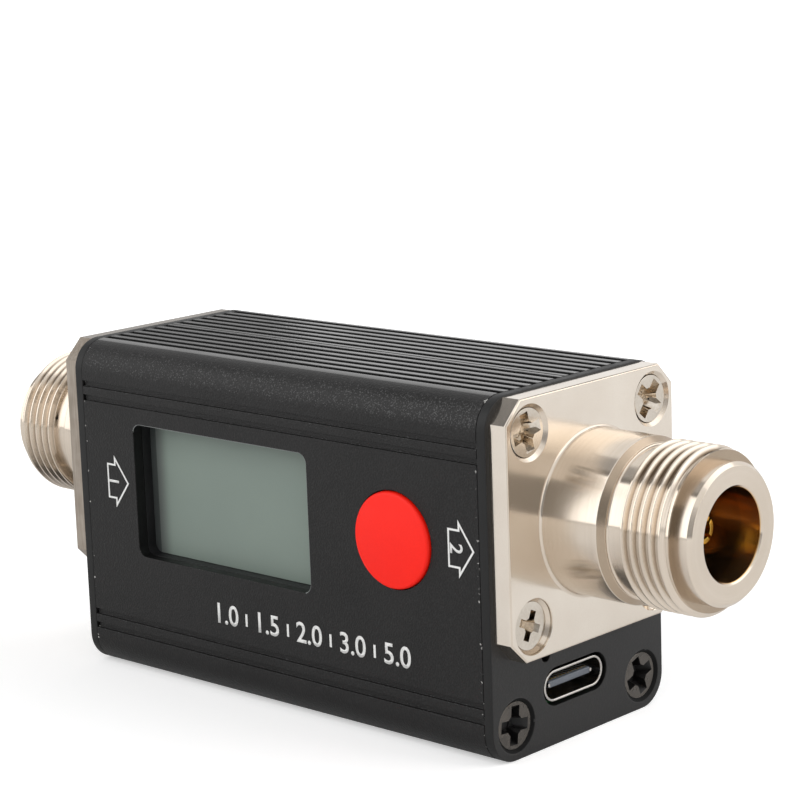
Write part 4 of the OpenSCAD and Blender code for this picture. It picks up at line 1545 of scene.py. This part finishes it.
@dataclass
class FrontPrint:
    """White print on the front: two arrows with plain numbers, and a row of plain scale numbers."""

    face_y: float = -13.0
    thickness: float = 0.02
    line: float = 0.2
    left_arrow: Triple = (-24.25, -23.1, -20.94)
    right_arrow: Triple = (23.67, 24.97, 26.94)
    arrow_number: float = 2.2
    arrow_shift: float = 0.3
    arrow_turn: float = -90.0
    centre_z: float = 20.74
    head_half: float = 2.8
    body_half: float = 1.88
    scale_z: float = 8.85
    scale_from: float = -7.0
    scale_to: float = 16.7
    scale_numbers: tuple[str, ...] = ("1.0", "1.5", "2.0", "3.0", "5.0")
    number_size: float = 3.0
    stroke_growth: float = 0.012
    curve_steps: int = 6
    tick_w: float = 0.28
    tick_h: float = 1.3

    def raise_up(self, piece: Piece) -> None:
        """Gives a flat outline the thickness of the ink.

        Args:
            piece: The flat mesh, facing up.
        """
        with editing(piece):
            pick_all()
            bpy.ops.mesh.extrude_region_move(TRANSFORM_OT_translate={"value": (0, 0, self.thickness)})
            turn_out()

    def flat(self, name: str, corners: Sequence[Pair]) -> Piece:
        """Draws a flat face.

        Args:
            name: Its name.
            corners: Its corners.

        Returns:
            The face, facing up.
        """
        piece = drawn(name, [(x, z, 0.0) for x, z in corners])
        with editing(piece):
            pick_all()
            bpy.ops.mesh.edge_face_add()
        return piece

    def arrow(self, stations: Triple) -> Piece:
        """Draws the outline of an arrow that points to the right.

        Args:
            stations: X of its back, of its head's base and of its tip.

        Returns:
            The raised outline.
        """
        back, base, tip = stations
        low, high = (self.centre_z + sign * self.body_half for sign in (-1, 1))
        wide_low, wide_high = (self.centre_z + sign * self.head_half for sign in (-1, 1))
        head = [(base, low), (base, wide_low), (tip, self.centre_z), (base, wide_high), (base, high)]
        piece = self.flat("arrow", [(back, low), *head, (back, high)])
        with editing(piece):
            bpy.ops.mesh.select_mode(type="FACE")
            pick_all()
            bpy.ops.mesh.inset(thickness=self.line, use_even_offset=True)
            bpy.ops.mesh.delete(type="FACE")
        self.raise_up(piece)
        return piece

    def number(self, text: str, x: float, z: float, size: float, turn: float) -> Piece:
        """Sets a plain number.

        Args:
            text: The number.
            x: Middle of the number along the front.
            z: Middle of the number above the underside.
            size: Size of the type.
            turn: Turn in degrees.

        Returns:
            The raised number.
        """
        bpy.ops.object.select_all(action="DESELECT")
        bpy.ops.object.text_add()
        figures = bpy.context.object.data
        figures.body = text
        figures.size = size
        figures.align_x = figures.align_y = "CENTER"
        figures.offset = self.stroke_growth * size
        figures.resolution_u = self.curve_steps
        bpy.ops.object.convert(target="MESH")
        piece = bpy.context.object
        piece.name = "number"
        with editing(piece):
            merge()
        self.raise_up(piece)
        place(piece, Matrix.Translation((x, z, 0)) @ Matrix.Rotation(math.radians(turn), 4, "Z"))
        return piece

    def tick(self, x: float) -> Piece:
        """Draws a short upright line between two numbers.

        Args:
            x: Its place along the front.

        Returns:
            The raised line.
        """
        side, top = self.tick_w / 2, self.tick_h / 2
        piece = self.flat("tick", [(-side, -top), (side, -top), (side, top), (-side, top)])
        self.raise_up(piece)
        place(piece, Matrix.Translation((x, self.scale_z, 0)))
        return piece

    def printed(self, name: str, marks: Sequence[Piece]) -> None:
        """Joins marks and sets them on the front.

        Args:
            name: Name of the print.
            marks: The raised marks, lying flat.
        """
        piece = welded(name, marks)
        place(piece, Matrix.Translation((0, self.face_y, 0)) @ Matrix.Rotation(QUARTER, 4, "X"))
        finished(piece, INK)

    def build(self) -> None:
        """Prints the arrows and the scale."""
        for name, stations, text in (("left", self.left_arrow, "1"), ("right", self.right_arrow, "2")):
            middle = (stations[0] + stations[1]) / 2 + self.arrow_shift
            number = self.number(text, middle, self.centre_z, self.arrow_number, self.arrow_turn)
            self.printed(f"{name}_arrow_print", [self.arrow(stations), number])
        gap = (self.scale_to - self.scale_from) / (len(self.scale_numbers) - 1)
        marks = []
        for index, text in enumerate(self.scale_numbers):
            x = self.scale_from + index * gap
            marks.append(self.number(text, x, self.scale_z, self.number_size, 0.0))
            if index:
                marks.append(self.tick(x - gap / 2))
        self.printed("scale_print", marks)


@dataclass
class Inside:
    """Pieces that stay in the tube; all but the foam pads keep their CAD shapes."""

    pads: tuple[str, ...] = ("board_pad", "battery_pad")
    pad_edge: float = 0.3
    pad_fill: float = 0.9

    def build(self) -> None:
        """Dresses each piece and rounds the foam pads."""
        dressed(ZINC, "left_flange_nuts", "right_flange_nuts")
        dressed(BOARD, "coupler_board", "charger_board")
        dressed(COPPER, "through_line", "sense_lines")
        dressed(CHIP, "detector_diodes", "terminating_resistors", "charger_chip")
        dressed(TINNED, "shield_can", "link_pins")
        dressed(BLACK_NYLON, "board_header")
        dressed(POUCH, "battery_cell")
        dressed(PVC, "battery_leads")
        for node in self.pads:
            pad = softened(f"foam_{node}", node, self.pad_edge, FOAM, 3)


# Studio


@dataclass(frozen=True)
class Hung:
    """Flat thing over the set: its middle, what it looks at, its size in metres and its strength."""

    name: str
    spot: Triple
    target: Triple
    size: Pair
    strength: float

    def aimed(self, front: str) -> Matrix:
        """Place of the thing, with the axis that faces its target."""
        turn = (Vector(self.target) - Vector(self.spot)).to_track_quat(front, "Y")
        return Matrix.Translation(self.spot) @ turn.to_matrix().to_4x4()


class Lamp(Hung):
    """Soft box that lights the set, with its power in watts; a card stands for it in reflections."""

    def hang(self) -> None:
        """Adds the lamp."""
        data = bpy.data.lights.new(self.name, "AREA")
        data.shape = "RECTANGLE"
        data.size, data.size_y = self.size
        data.energy = self.strength
        lamp = bpy.data.objects.new(self.name, data)
        lamp.visible_glossy = False
        lamp.matrix_world = self.aimed("-Z")
        bpy.context.scene.collection.objects.link(lamp)


class Card(Hung):
    """Board that only reflections see, with its brightness."""

    def hang(self) -> None:
        """Adds the board."""
        card = start(bpy.ops.mesh.primitive_plane_add, size=1.0)
        card.name = self.name
        place(card, self.aimed("Z") @ Matrix.Diagonal((*self.size, 1.0, 1.0)))
        material = bpy.data.materials.new(self.name)
        sketch = Sketch(material)
        sketch.add("OutputMaterial", [sketch.add("Emission", {"Strength": self.strength})])
        card.data.materials.append(material)
        card.visible_camera = card.visible_diffuse = card.visible_shadow = False
        card.visible_transmission = card.visible_volume_scatter = False


@dataclass
class Studio:
    """White floor, soft light and the camera; places are in metres and angles in degrees."""

    floor_size: float = 12.0
    floor_tone: str = "#e8e8e8"
    floor_lift: float = 0.42
    floor_fade: Pair = (0.1, 0.5)
    mirror_lift: float = 0.06
    ambient: float = 0.45
    camera_spot: Triple = (0.177869, -0.183760, 0.081465)
    azimuth: float = 43.068
    elevation: float = 11.458
    roll: float = -2.050
    lens: float = 115.08
    sensor: float = 36.0
    clip: Pair = (0.01, 50.0)
    lamps: tuple[Lamp, ...] = (
        Lamp("front_box", (0.0, -0.551, 0.465), (0.0, 0.034, 0.07), (1.8, 0.62), 4.6),
        Lamp("back_box", (0.75, 0.65, 0.65), (0.0, 0.0, 0.02), (1.2, 0.9), 11.0),
    )
    cards: tuple[Card, ...] = (
        Card("front_card", (-0.55, -0.595, 0.4), (-0.55, -0.01, 0.005), (1.1, 0.91), 1.95),
        Card("camera_side", (0.5, -0.95, 0.35), (0.0, 0.0, 0.35), (1.6, 1.1), 0.38),
        Card("right_card", (1.3, -0.19, 0.3), (0.0, -0.19, 0.3), (0.5, 0.5), 1.4),
        Card("back_card", (0.75, 0.65, 0.65), (0.0, 0.0, 0.02), (1.2, 0.9), 2.0),
        Card("back_gap", (-0.15, 0.8, 0.75), (0.0, 0.0, 0.02), (0.7, 0.35), 0.3),
        Card("left_back", (-1.24, 0.45, 0.18), (0.0, 0.0, 0.18), (1.2, 0.36), 0.4),
        Card("dark_ceiling", (-0.775, -0.278, 0.8), (-0.775, -0.278, 0.0), (0.85, 0.138), 0.15),
        Card("dim_ceiling", (-0.775, -0.056, 0.8), (-0.775, -0.056, 0.0), (0.85, 0.305), 0.4),
    )

    def camera(self) -> None:
        """Sets the camera where the photograph was taken from."""
        side, rise, turn = map(math.radians, (self.azimuth, self.elevation, self.roll))
        ahead = Vector((-math.sin(side) * math.cos(rise), math.cos(side) * math.cos(rise), -math.sin(rise)))
        level = Vector((math.cos(side), math.sin(side), 0.0))
        upright = level.cross(ahead)
        right = level * math.cos(turn) + upright * math.sin(turn)
        top = upright * math.cos(turn) - level * math.sin(turn)
        data = bpy.data.cameras.new("camera")
        data.lens = self.lens
        data.sensor_width = self.sensor
        data.clip_start, data.clip_end = self.clip
        camera = bpy.data.objects.new("camera", data)
        axes = Matrix((right, top, -ahead)).transposed().to_4x4()
        camera.matrix_world = Matrix.Translation(self.camera_spot) @ axes
        bpy.context.scene.collection.objects.link(camera)
        bpy.context.scene.camera = camera

    def floor(self) -> None:
        """Lays the floor, which looks a little lighter to the camera than it is, so that it ends in white."""
        floor = start(bpy.ops.mesh.primitive_plane_add, size=self.floor_size)
        floor.name = "floor"
        material = bpy.data.materials.new("white_paper")
        sketch = Sketch(material)
        paper = sketch.add("BsdfDiffuse", {"Color": linear(self.floor_tone)})
        coords = sketch.add("TexCoord", port="Object")
        away = sketch.add("VectorMath", [coords], "Value", operation="LENGTH")
        share = sketch.add("MapRange", (away, *self.floor_fade, self.floor_lift, 1.0))
        path = sketch.add("LightPath").node.outputs
        seen = sketch.add("Math", (path["Is Camera Ray"], share), operation="MULTIPLY")
        mirrored = (path["Is Glossy Ray"], self.mirror_lift, seen)
        glow = sketch.add("Emission", {"Strength": sketch.add("Math", mirrored, operation="MULTIPLY_ADD")})
        sketch.add("OutputMaterial", [sketch.add("AddShader", (paper, glow))])
        floor.data.materials.append(material)

    def world(self) -> None:
        """Surrounds the scene with white that lights it only a little."""
        world = bpy.data.worlds.new("white_room")
        sketch = Sketch(world)
        path = sketch.add("LightPath").node.outputs
        shown = path["Is Camera Ray"]
        for ray in ("Is Glossy Ray", "Is Transmission Ray"):
            shown = sketch.add("Math", (shown, path[ray]), operation="MAXIMUM")
        strength = sketch.add("Mix", {0: shown, 2: self.ambient, 3: 1.0}, data_type="FLOAT")
        white = sketch.add("Background", {"Color": (1.0, 1.0, 1.0, 1.0), "Strength": strength})
        sketch.add("OutputWorld", [white])
        bpy.context.scene.world = world

    def build(self) -> None:
        """Sets up camera, floor, surroundings, lamps and cards."""
        self.camera()
        self.floor()
        self.world()
        for item in (*self.lamps, *self.cards):
            item.hang()
        bpy.context.scene.view_settings.view_transform = "Standard"


def main() -> None:
    """Builds the studio and every sub-assembly."""
    logging.basicConfig(level=logging.INFO, format="%(message)s")
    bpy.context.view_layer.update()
    Studio().build()
    Casing().build()
    for side in Side:
        Jack(side).build()
        Screws(side).build()
    PushButton().build()
    Display().build()
    ChargingSocket().build()
    FrontPrint().build()
    Inside().build()


if __name__ == "__main__":
    main()
